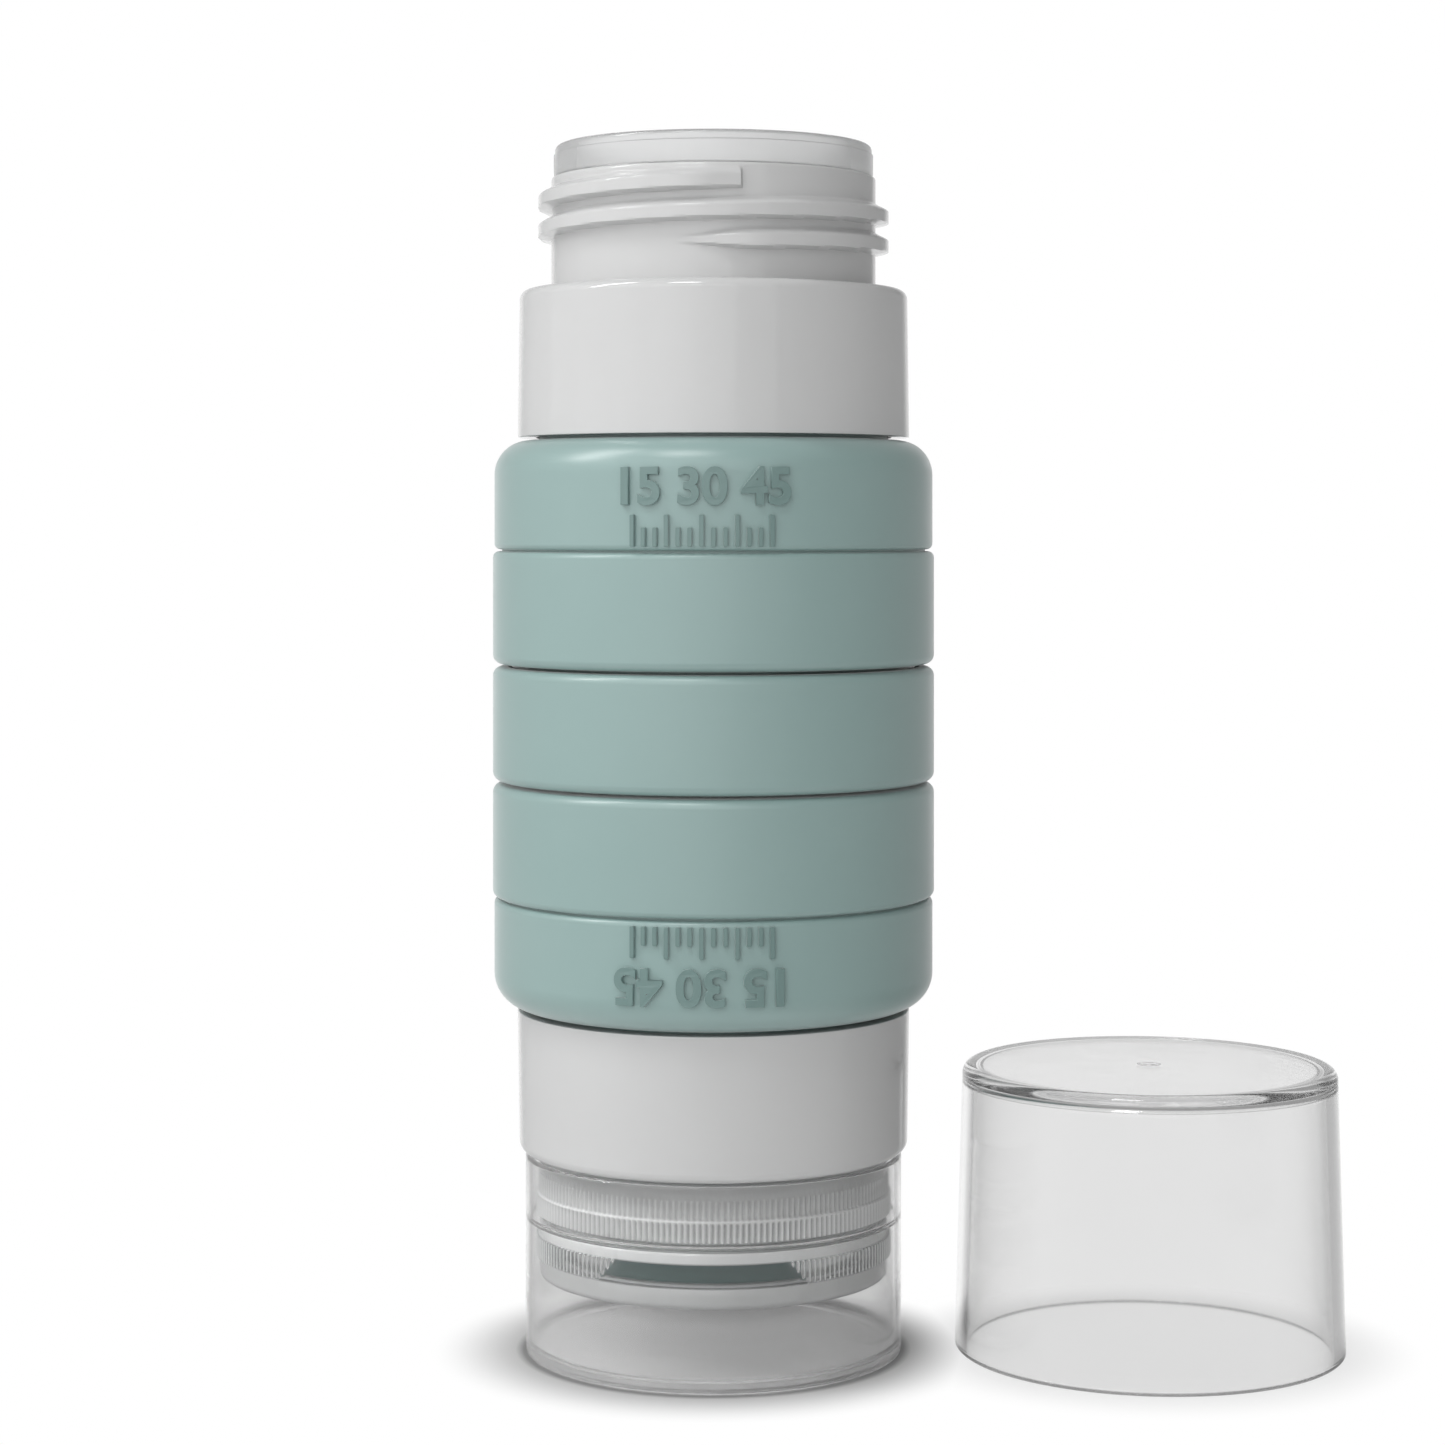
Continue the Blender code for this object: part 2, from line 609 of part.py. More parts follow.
def make_travel_cap(material, collection):
    """Clear tapered cap, taken off and standing open side down beside the bottle."""
    top_radius = TRAVEL_CAP_RIM_RADIUS - TRAVEL_CAP_TAPER
    roof = TRAVEL_CAP_HEIGHT - TRAVEL_CAP_WALL
    outline = [
        (top_radius, TRAVEL_CAP_HEIGHT, TRAVEL_CAP_FILLET, 2),
        (TRAVEL_CAP_RIM_RADIUS, 0, NECK_EDGE_FILLET, 1),
        (TRAVEL_CAP_BORE, 0, NECK_EDGE_FILLET, 1),
        (top_radius - TRAVEL_CAP_WALL, roof, TRAVEL_CAP_FILLET, 1),
        (0, roof),
        (0, TRAVEL_CAP_HEIGHT),
    ]
    cap = turned("travel_cap", outline, material, collection, solid_centre=True)
    cap.location = (BAND_RADIUS + TRAVEL_CAP_GAP + TRAVEL_CAP_RIM_RADIUS, 0, 0)
    return cap


def main():
    clear_scene()
    parts = make_collection("travel_squeeze_bottle")
    cutters = make_collection("cutters")
    silicone = make_material("sage_silicone", SAGE, 0.48)
    white = make_material("white_plastic", WHITE, 0.22)
    frosted = make_material("frosted_plastic", FROSTED, 0.35, 0.6)
    clear = make_material("clear_plastic", CLEAR, 0.05, 1.0)
    seal = make_material("pale_seal", PALE_SEAL, 0.5)

    finish(make_sleeve("upper_sleeve", 1, silicone, parts))
    finish(make_sleeve("lower_sleeve", -1, silicone, parts))
    finish(make_middle_band(silicone, parts))
    finish(make_hub(white, parts))
    make_upper_collar(white, parts, cutters)
    make_lower_collar(white, parts, cutters)
    finish(make_liner(frosted, parts))
    make_dispensing_cap(clear, parts, cutters)
    make_valve(silicone, parts, cutters)
    finish(make_retainer(frosted, parts))
    finish(make_washer(seal, parts))
    finish(make_end_cap(clear, parts))
    finish(make_travel_cap(clear, parts))


main()
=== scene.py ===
# Looks of the double-ended travel squeeze bottle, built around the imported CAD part.
# Metres, +Z up and -Y the front, in the same frame as the part.
import math

import bmesh
import bpy
from mathutils import Matrix, Vector


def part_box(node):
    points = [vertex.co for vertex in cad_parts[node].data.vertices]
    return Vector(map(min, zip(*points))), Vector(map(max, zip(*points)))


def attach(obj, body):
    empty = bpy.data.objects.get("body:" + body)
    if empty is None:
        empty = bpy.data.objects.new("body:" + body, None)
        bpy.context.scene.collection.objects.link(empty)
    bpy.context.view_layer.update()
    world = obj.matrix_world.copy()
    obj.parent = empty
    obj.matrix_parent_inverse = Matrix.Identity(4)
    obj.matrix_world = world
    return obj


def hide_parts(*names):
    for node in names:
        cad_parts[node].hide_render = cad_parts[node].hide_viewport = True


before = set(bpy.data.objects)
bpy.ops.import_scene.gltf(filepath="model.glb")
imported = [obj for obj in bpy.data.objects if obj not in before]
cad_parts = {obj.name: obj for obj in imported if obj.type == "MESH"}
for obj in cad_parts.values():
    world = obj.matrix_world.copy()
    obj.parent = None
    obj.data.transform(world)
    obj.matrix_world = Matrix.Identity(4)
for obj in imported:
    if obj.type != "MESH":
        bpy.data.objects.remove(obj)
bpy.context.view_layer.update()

# Frame sizes that the pieces are placed by
BAND_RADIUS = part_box("middle_band")[1].x
MIDDLE = sum(corner.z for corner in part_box("middle_band")) / 2
UPPER_SLEEVE_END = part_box("upper_sleeve")[1].z
LOWER_SLEEVE_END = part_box("lower_sleeve")[0].z
UPPER_NECK_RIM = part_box("upper_collar")[1].z
LOWER_NECK_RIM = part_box("lower_collar")[0].z
LIP_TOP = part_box("mouth_liner")[1].z
LINER_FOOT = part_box("mouth_liner")[0].z
LIP_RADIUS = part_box("mouth_liner")[1].x
CLOSURE_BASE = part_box("dispensing_cap")[0].z
CLOSURE_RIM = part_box("dispensing_cap")[1].z
END_CAP_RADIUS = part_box("end_cap")[1].x
CAP_AXIS = sum(corner.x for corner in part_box("travel_cap")) / 2
CAP_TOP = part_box("travel_cap")[1].z
CAP_RIM_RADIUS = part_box("travel_cap")[1].y
VALVE_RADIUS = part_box("valve")[1].x
VALVE_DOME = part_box("valve")[0].z
VALVE_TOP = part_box("valve")[1].z

# Facets
TURN_STEPS = 192
UPPER_COLLAR_STEPS = 360
LOWER_COLLAR_STEPS = 240
RIB_STEPS = 4  # per rib of the closure
ROW_STEP = 0.00014  # height of a row of faces, where a wall has a thread or the window's slanted sides
WELD = 0.000001  # two radii or heights closer than this are the same
RUN_SHARE = 0.98  # of a straight run, that one fillet may take
SHARED_RUN_SHARE = 0.49
SHARP_ANGLE = math.radians(38)

# Fillets of outlines, each a radius and its number of steps
HAIR = (0.0001, 1)
CRISP = (0.0001, 2)
FINE = (0.0002, 2)
FINE_RIM = (0.0002, 3)
RIM = (0.0003, 3)
ROUND_RIM = (0.0003, 4)
SHOULDER = (0.0034, 14)
SHOULDER_INSIDE = (0.0024, 8)
SLEEVE_INSIDE = (0.0012, 6)
GROOVE_EDGE = (0.0006, 6)
BAND_EDGE = (0.0009, 8)
FACE_EDGE = (0.0010, 8)
SOCKET_EDGE = (0.00015, 2)
LIP_EDGE = (0.0005, 6)
TIER_EDGE = (0.0003, 6)
CLOSURE_FOOT = (0.0007, 6)
CAP_INSIDE = (0.0009, 6)
ROOF_INSIDE = (0.0010, 6)
DOME_EDGE = (0.0009, 6)
DOME_INSIDE = (0.0005, 4)

FIT = 0.0003  # gap between pieces that meet

# Soft sleeves, with heights from the middle of the bottle outwards
BODY_HALF_HEIGHT = 0.0284
END_BAND_EASE = 0.00015  # how much smaller the end bands' radius is
FOOT = 0.00595
TAIL = 0.00105  # the part under the middle band ends here
TAIL_RADIUS = 0.0185
GROOVE_HEIGHT = 0.0172
GROOVE_DEPTH = 0.0009
GROOVE_WIDTH = 0.0003
SLEEVE_WALL = 0.0020
MOUTH_TUBE_RADIUS = 0.01745
MOUTH_TUBE_WALL = 0.0019
MIDDLE_BAND_WALL = 0.0015

# Collars and necks
COLLAR_END_RADIUS = 0.01935
COLLAR_RADIUS = 0.01955
COLLAR_END_WALL = 0.0015
SOCKET_RADIUS = 0.01775
SKIRT_RADIUS = 0.01525
SKIRT_BORE = 0.01375
SKIRT_REACH = 0.0014
UPPER_NECK_RADIUS = 0.0162
LOWER_NECK_RADIUS = 0.0142
NECK_WALL = 0.0015
NECK_FOOT = 0.0002  # small slope where a neck stands on its collar
UPPER_NECK_PLAIN = 0.002  # part of the neck without a thread, above its collar
UPPER_COLLAR_HEIGHT = 0.0147
LOWER_COLLAR_HEIGHT = 0.0140
UPPER_COLLAR_TOP = MIDDLE + BODY_HALF_HEIGHT + UPPER_COLLAR_HEIGHT
LOWER_COLLAR_BASE = MIDDLE - BODY_HALF_HEIGHT - LOWER_COLLAR_HEIGHT

# Threads
UPPER_THREAD_RISE = 0.0038  # from the collar to the middle of the bead's start
LOWER_THREAD_RISE = 0.0013  # from the rim of the neck
UPPER_THREAD_DEPTH = 0.0013
LOWER_THREAD_DEPTH = 0.0012
BEAD_TIP_WIDTH = 0.35  # share of a bead's width where it starts
BEAD_UPPER_FLANK = 0.8  # width of its upper slope, as a share of half a bead's width
UPPER_THREAD = dict(
    start=UPPER_COLLAR_TOP + UPPER_THREAD_RISE,
    start_angle=math.radians(-104),
    turns=2.065,
    pitch=0.0029,
    root=0.0023,
    lead_in=math.radians(30),
    lead_out=math.radians(20),
    under=0.25,
    blunt=0.5,
)
LOWER_THREAD = dict(
    start=LOWER_NECK_RIM + LOWER_THREAD_RISE,
    start_angle=math.radians(30),
    turns=1.05,
    pitch=0.0030,
    root=0.0014,
    lead_in=math.radians(20),
    lead_out=math.radians(12),
    under=0.6,
)

# Mouth liner
LINER_SEAT = 0.0005
LINER_GAP = 0.00004  # keeps the lip a hair above the neck's rim
LINER_WALL = 0.0010
LIP_LEDGE = 0.00015  # how much smaller the top of the lip is
LIP_LEDGE_DROP = 0.0009  # from the top of the lip
LIP_LEDGE_SLOPE = 0.0001

# Closure
CLOSURE_RADIUS = 0.0174
CLOSURE_BORE = 0.01575
CLOSURE_END_WALL = 0.0018
CLOSURE_THREAD_RISE = 0.0017  # from the ledge
CLOSURE_THREAD_TURNS = 1.10
CLOSURE_RIM_PLAIN = 0.0004  # top of the bore, which isn't cut into rows
RIB_COUNT = 190
RIB_HEIGHT = 0.00030
RIB_STEP = 0.0002  # how much less the upper half of the upper tier stands out
RIB_SINK = 0.00006  # how far the roots of the ribs lie under the plain wall
RIB_END_SLOPE = 0.6  # height of the slope at a tier's end, as a share of a rib's height
LOWER_RIB_POWER = 1.8  # makes the ribs of the lower tier narrower
UPPER_RIB_POWER = 1.1
TIER_BEAD = 0.0003  # half height of the bead between the halves of the upper tier
TIER_BEAD_SHARE = 0.8
WINDOW_ANGLE = math.radians(-94)
WINDOW_HALF_TOP = math.radians(27)
WINDOW_HALF_BASE = math.radians(34.5)
WINDOW_RIB_FADE = math.radians(1.5)
LOWER_GRIP = (0.0021, 0.0044)  # above the closure's end
UPPER_GRIP = (0.0064, 0.0105)
CLOSURE_GROOVE = (0.0055, 0.0064)
CLOSURE_GROOVE_DEPTH = 0.0006
ORIFICE_RADIUS = 0.0070
LEDGE = 0.0056  # above the closure's end
VALVE_SEAT_RADIUS = 0.0145

# Pieces inside the closure
VALVE_WALL = 0.0010
VALVE_DISH_RADIUS = 0.0092
DOME_GAP = 0.0004
SLIT_SHARE = 0.58  # of the dome's width
SLIT_WIDTH = 0.0003
SLIT_DEPTH = 0.003
RETAINER_WIDTH = 0.0050
WASHER_WIDTH = 0.00355

# Clear caps
END_CAP_WALL = 0.0006
END_CAP_FLOOR = 0.0009
FOOT_RING_WIDTH = 0.0022
FOOT_RING_SLOPE = 0.0004
FOOT_RING_HEIGHT = 0.0002
SNAP_BEAD = 0.0003  # ring inside the end cap, at the closure's groove
SNAP_BEAD_EDGE = (SNAP_BEAD, 6)
FLOOR_GAP = 0.00006  # keeps clear plastic a hair above the table
CAP_WALL = 0.0012
CAP_TAPER = 0.0008
GATE_MARK = ((0, 0.00006), (0.0003, 0.00006), (0.0005, 0.0002), (0.0009, 0.0002))  # radius and depth
GATE_MARK_RADIUS = 0.0012

# Raised numbers and ticks
DIGITS = "15 30 45"
DIGIT_SIZE = 0.0048
DIGIT_MIDDLE = 0.0019  # above the middle of the marks
DIGIT_BEVEL = 0.00005
DIGIT_SWELL = 0.0001  # makes the strokes bolder
DIGIT_CURVE_STEPS = 6
TICK_COUNT = 13
TICK_ROW_WIDTH = 0.0132
TICK_BASE = -0.0036  # below the middle of the marks
TICK_WIDTH = 0.00045
TICK_BEVEL = 0.00006
TALL_TICK = 0.0030
SHORT_TICK = 0.0018
TALL_TICK_EVERY = 3
MARK_RELIEF = 0.0004
MARK_SINK = 0.0002  # how far the marks reach into the sleeve
MARK_THICKNESS = MARK_RELIEF + MARK_SINK
MARK_CENTRE = math.radians(-92.7)
UPPER_MARKS_HEIGHT = 0.0837
LOWER_MARKS_HEIGHT = 0.0410


def point_in(outline, index):
    corner = outline[index % len(outline)]
    return Vector((corner[0], corner[1]))


def room(outline, neighbour, run):
    """How much of a run a fillet may take, less where the neighbouring corner has a fillet too."""
    is_shared = len(outline[neighbour % len(outline)]) > 2
    return run.length * (SHARED_RUN_SHARE if is_shared else RUN_SHARE)


def filleted(outline):
    """Points of a closed outline whose corners (radius, height, fillet, steps) are rounded by arcs."""
    points = []
    for index, corner in enumerate(outline):
        here = point_in(outline, index)
        if len(corner) == 2:
            points.append(here)
            continue
        fillet, steps = corner[2:]
        before = point_in(outline, index - 1) - here
        after = point_in(outline, index + 1) - here
        half = before.angle(after) / 2
        rooms = (room(outline, index - 1, before), room(outline, index + 1, after))
        reach = min(fillet / math.tan(half), *rooms)
        radius = reach * math.tan(half)
        centre = here + (before.normalized() + after.normalized()).normalized() * radius / math.sin(half)
        start = here + before.normalized() * reach - centre
        sweep = start.angle_signed(here + after.normalized() * reach - centre)
        for step in range(steps + 1):
            points.append(centre + Matrix.Rotation(-sweep * step / steps, 2) @ start)
    return points


def with_rows(points, radius, low, high):
    """The same points, with an upright wall's run between two heights cut into fine rows."""
    rows = []
    for index, here in enumerate(points):
        after = points[(index + 1) % len(points)]
        rows.append(here)
        if abs(here.x - radius) > WELD or abs(after.x - radius) > WELD:
            continue
        count = max(1, round(abs(after.y - here.y) / ROW_STEP))
        for step in range(1, count):
            point = here.lerp(after, step / count)
            if low < point.y < high:
                rows.append(point)
    return rows


def lathe(name, points, steps=TURN_STEPS, relief=None):
    """Turned object of a closed outline. relief gives the radius at an angle, a radius and a height."""
    verts = []
    rings = []
    for point in points:
        if point.x < WELD:
            rings.append([len(verts)])
            verts.append((0, 0, point.y))
            continue
        rings.append(range(len(verts), len(verts) + steps))
        for step in range(steps):
            angle = math.tau * step / steps
            radius = relief(angle, point.x, point.y) if relief else point.x
            verts.append((radius * math.cos(angle), radius * math.sin(angle), point.y))
    faces = []
    for index, ring in enumerate(rings):
        after = rings[(index + 1) % len(rings)]
        for step in range(steps):
            follow = (step + 1) % steps
            if len(ring) > 1 and len(after) > 1:
                faces.append((ring[step], ring[follow], after[follow], after[step]))
            elif len(ring) > 1:
                faces.append((ring[step], ring[follow], after[0]))
            elif len(after) > 1:
                faces.append((ring[0], after[follow], after[step]))
    mesh = bpy.data.meshes.new(name)
    mesh.from_pydata(verts, [], faces)
    work = bmesh.new()
    work.from_mesh(mesh)
    bmesh.ops.recalc_face_normals(work, faces=work.faces)
    work.to_mesh(mesh)
    work.free()
    mesh.shade_smooth()
    mesh.set_sharp_from_angle(angle=SHARP_ANGLE)
    obj = placed_object(name, mesh)
    even_shading(obj)
    return obj


def placed_object(name, data):
    """New object in the scene."""
    obj = bpy.data.objects.new(name, data)
    bpy.context.scene.collection.objects.link(obj)
    return obj


def mesh_as_seen(obj):
    """New mesh with the object's modifiers, or its curve, worked out."""
    graph = bpy.context.evaluated_depsgraph_get()
    return bpy.data.meshes.new_from_object(obj.evaluated_get(graph))


def apply_modifiers(obj):
    mesh = mesh_as_seen(obj)
    obj.modifiers.clear()
    obj.data = mesh


def even_shading(obj):
    """Let the large faces set the shading, so that a flat stays flat up to its fillets."""
    weighted = obj.modifiers.new("weighted", "WEIGHTED_NORMAL")
    weighted.keep_sharp = True
    apply_modifiers(obj)


def smooth(value):
    """Smooth step from 0 to 1."""
    value = min(1, max(0, value))
    return value * value * (3 - 2 * value)


def angle_from(angle, centre):
    """Signed angle from a centre, between minus and plus half a turn."""
    return (angle - centre + math.pi) % math.tau - math.pi


def thread_height(angle, height, start, start_angle, turns, pitch, root, lead_in, lead_out, under, blunt=0):
    """Share of a helical bead's depth at a place on its wall. blunt is its share at the far end."""
    best = 0
    first = (angle - start_angle) % math.tau / math.tau
    for lap in range(math.ceil(turns)):
        turn = first + lap
        if turn > turns:
            continue
        rise = smooth(turn * math.tau / lead_in)
        ramp = min(rise, blunt + (1 - blunt) * smooth((turns - turn) * math.tau / lead_out))
        half = root / 2 * (BEAD_TIP_WIDTH + (1 - BEAD_TIP_WIDTH) * (rise if blunt else ramp))
        offset = (height - start - pitch * turn) / half
        flank = BEAD_UPPER_FLANK if offset > 0 else under
        best = max(best, ramp * smooth((1 - abs(offset)) / flank))
    return best


def threaded_wall(wall_radius, thread, depth):
    """Relief of a wall with a helical bead, which points inwards where its depth is negative."""

    def relief(angle, radius, height):
        if abs(radius - wall_radius) > WELD:
            return radius
        return radius + depth * thread_height(angle, height, **thread)

    return relief


def dress(obj, body, node, material):
    """Put a piece on its body in place of a CAD node."""
    obj.data.materials.clear()
    obj.data.materials.append(material)
    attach(obj, body)
    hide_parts(node)


# Materials

PLASTIC_IOR = 1.49
FLOW = dict(scale=150, detail=2, stretch=(1, 1, 0.4))  # faint waves of a mould's surface
HAZE = 0.09  # roughness of the end cap's foot
HAZE_FADE = 0.002  # height over which it gets clear
MILKY = 0.89  # its transmission
MILKY_FADE = (-0.0012, 0.0003)  # from the height of the closure's end
# Painted shade: the travel cap's lower edge is painted dark, in place of the dark line where it stands on the
# table
PAINTED_EDGE_SHADE_HEIGHTS = (0.0002, 0.0003)  # heights over which the dark lower edge of the travel cap fades
PAINTED_EDGE_SHADE_LEVEL = 0.25
CLOUD_EASE = 0.99  # share of its level that clear plastic keeps in its darker clouds

# Colours, each a darker and a lighter shade that noise runs between
SAGE = ((0.246, 0.360, 0.346, 1), (0.266, 0.378, 0.364, 1))
# Marks: darker sage, painted shade that stands in for the shading round their raised strokes
MARK_PAINTED_SHADE_SAGE = ((0.138, 0.225, 0.214, 1), (0.152, 0.240, 0.228, 1))
# Valve: darker sage, painted shade for the dim light it gets behind the closure
VALVE_PAINTED_SHADE_SAGE = ((0.070, 0.150, 0.140, 1), (0.080, 0.165, 0.155, 1))
WHITE_SHADES = ((0.548, 0.550, 0.550, 1), (0.572, 0.574, 0.574, 1))
FROSTED_SHADES = ((0.76, 0.765, 0.765, 1), (0.82, 0.825, 0.825, 1))
SEAL_SHADES = ((0.60, 0.62, 0.61, 1), (0.70, 0.72, 0.71, 1))
# Closure: the roots of its ribs are painted darker as shade, and the crests stay light
CLOSURE_PAINTED_RIB_SHADES = ((0.86, 0.87, 0.87, 1), (0.98, 0.99, 0.99, 1))  # roots and crests of its ribs

# Transmission of the closure's bands
WINDOW_CLEAR = 1
CREST_CLEAR = 0.06
LOWER_ROOT_CLEAR = 0.95
UPPER_ROOT_CLEAR = 0.52
GROOVE_CLEAR = 0.92
FOOT_CLEAR = 0.45
LEDGE_CLEAR = 0.08  # of the plain ledge over the window
LOWER_CREST = (0.50, 0.95)  # shares of a rib's height between which it turns milky
UPPER_CREST = (0.15, 0.75)
BAND_FADE = 0.0001
GROOVE_FADE = 0.0002
WINDOW_FADE = math.radians(1)


def grey(level):
    return (level, level, level, 1)


class Nodes:
    """Short way to write a node tree. A source is another node's output or a plain value."""

    def __init__(self, tree):
        self.tree = tree

    def add(self, kind, **values):
        node = self.tree.nodes.new(kind)
        for name, value in values.items():
            setattr(node, name, value)
        return node

    def feed(self, node, sources):
        """Link or set inputs of a node by their names or numbers."""
        for name, source in sources.items():
            if isinstance(source, bpy.types.NodeSocket):
                self.tree.links.new(source, node.inputs[name])
            else:
                node.inputs[name].default_value = source

    def math(self, operation, *sources, clamp=False):
        node = self.add("ShaderNodeMath", operation=operation, use_clamp=clamp)
        self.feed(node, dict(enumerate(sources)))
        return node.outputs[0]

    def vector_math(self, operation, sources):
        node = self.add("ShaderNodeVectorMath", operation=operation)
        self.feed(node, sources)
        return node.outputs

    def axes(self, vector):
        """The three parts of a vector."""
        node = self.add("ShaderNodeSeparateXYZ")
        self.feed(node, {0: vector})
        return node.outputs

    def from_axis(self, place, axis=0):
        """Distance of a place from an upright axis."""
        level = self.vector_math("MULTIPLY", {0: place, 1: (1, 1, 0)})[0]
        return self.vector_math("DISTANCE", {0: level, 1: (axis, 0, 0)})["Value"]

    def between(self, source, low, high, start=0.3, end=0.7, kind="LINEAR"):
        """A number that runs from low to high while the source, noise unless said otherwise, runs from
        start to end."""
        node = self.add("ShaderNodeMapRange", interpolation_type=kind)
        self.feed(node, {"Value": source, "From Min": start, "From Max": end, "To Min": low, "To Max": high})
        return node.outputs["Result"]

    def blend(self, factor, first, second):
        """A number between two, the first where the factor is 0."""
        node = self.add("ShaderNodeMix", data_type="FLOAT")
        self.feed(node, {0: factor, 2: first, 3: second})
        return node.outputs[0]

    def shades(self, factor, first, second):
        """A colour between two, the first where the factor is 0."""
        node = self.add("ShaderNodeMix", data_type="RGBA")
        self.feed(node, {0: factor, 6: first, 7: second})
        return node.outputs[2]

    def mix_shaders(self, factor, first, second):
        node = self.add("ShaderNodeMixShader")
        self.feed(node, {0: factor, 1: first, 2: second})
        return node.outputs["Shader"]


class Surface(Nodes):
    """Node tree of a material, with its main shader and the place on the object."""

    def __init__(self, name):
        self.material = bpy.data.materials.new(name)
        self.material.use_nodes = True
        super().__init__(self.material.node_tree)
        self.shader = self.tree.nodes["Principled BSDF"]
        self.place = self.add("ShaderNodeTexCoord").outputs["Object"]

    def give(self, sources):
        """Link or set inputs of the main shader."""
        self.feed(self.shader, sources)

    def show(self, shader):
        self.feed(self.tree.nodes["Material Output"], {"Surface": shader})

    def noise(self, scale, detail, stretch=None):
        place = self.place
        if stretch:
            mapping = self.add("ShaderNodeMapping")
            self.feed(mapping, {"Vector": place, "Scale": stretch})
            place = mapping.outputs["Vector"]
        node = self.add("ShaderNodeTexNoise")
        self.feed(node, {"Vector": place, "Scale": scale, "Detail": detail})
        return node.outputs["Fac"]

    def bump(self, source, distance, strength):
        node = self.add("ShaderNodeBump")
        self.feed(node, {"Height": source, "Distance": distance, "Strength": strength})
        self.give({"Normal": node.outputs["Normal"]})

    def let_lamps_through(self, level):
        """Let the light of lamps pass, so that what stands in or behind the plastic is lit."""
        path = self.add("ShaderNodeLightPath").outputs
        clear = self.add("ShaderNodeBsdfTransparent")
        self.feed(clear, {"Color": grey(level)})
        self.show(self.mix_shaders(path["Is Shadow Ray"], self.shader.outputs["BSDF"], clear.outputs["BSDF"]))


def silicone(name, shades):
    """Soft satin silicone with a fine grain."""
    surface = Surface(name)
    cloud = surface.noise(scale=90, detail=3)
    grain = surface.noise(scale=5200, detail=2)
    surface.give({
        "Base Color": surface.shades(cloud, *shades),
        "Roughness": surface.between(cloud, 0.30, 0.36),
        "Specular IOR Level": 0.8,
        "Sheen Weight": 0.6,
        "Sheen Roughness": 0.3,
    })
    surface.bump(grain, distance=0.00001, strength=0.5)
    return surface.material


def white_plastic(name):
    """Smooth moulded plastic with the faint waves of a mould's surface."""
    surface = Surface(name)
    cloud = surface.noise(scale=60, detail=2)
    flow = surface.noise(scale=260, detail=2, stretch=(1, 1, 0.25))
    surface.give({
        "Base Color": surface.shades(cloud, *WHITE_SHADES),
        "Roughness": surface.between(flow, 0.06, 0.08),
    })
    surface.bump(flow, distance=0.00002, strength=0.25)
    return surface.material


def frosted_plastic(name):
    """Translucent plastic, slightly frosted."""
    surface = Surface(name)
    cloud = surface.noise(scale=120, detail=2)
    surface.give({
        "Base Color": surface.shades(cloud, *FROSTED_SHADES),
        "Roughness": surface.between(cloud, 0.20, 0.26),
        "Transmission Weight": 0.70,
        "IOR": PLASTIC_IOR,
    })
    surface.let_lamps_through(0.6)
    return surface.material


def clear_plastic(name, level, roughness, transmission, passed, foot=None):
    """Clear plastic with faint flow waves, milky below the height of its foot or with a lower edge painted
    dark as shade.
    """
    surface = Surface(name)
    flow = surface.noise(**FLOW)
    cloud = surface.noise(scale=70, detail=2)
    height = surface.axes(surface.place)["Z"]
    colour = surface.shades(cloud, grey(level * CLOUD_EASE), grey(level))
    rough = surface.between(flow, *roughness)
    surface.give({"Transmission Weight": transmission, "IOR": PLASTIC_IOR})
    if foot:
        hazy = surface.between(height, HAZE, 0, foot - HAZE_FADE, foot)
        rough = surface.math("MAXIMUM", rough, hazy)
        milky = surface.between(height, MILKY, transmission, *(foot + fade for fade in MILKY_FADE))
        surface.give({"Transmission Weight": milky})
    else:
        # Painted shade: darker colour along the lower edge, where the cap stands on the table
        edge = surface.between(height, 1, 0, *PAINTED_EDGE_SHADE_HEIGHTS)
        colour = surface.shades(edge, colour, grey(PAINTED_EDGE_SHADE_LEVEL))
    surface.give({"Base Color": colour, "Roughness": rough})
    surface.bump(flow, distance=0.00002, strength=0.3)
    surface.let_lamps_through(passed)
    return surface.material


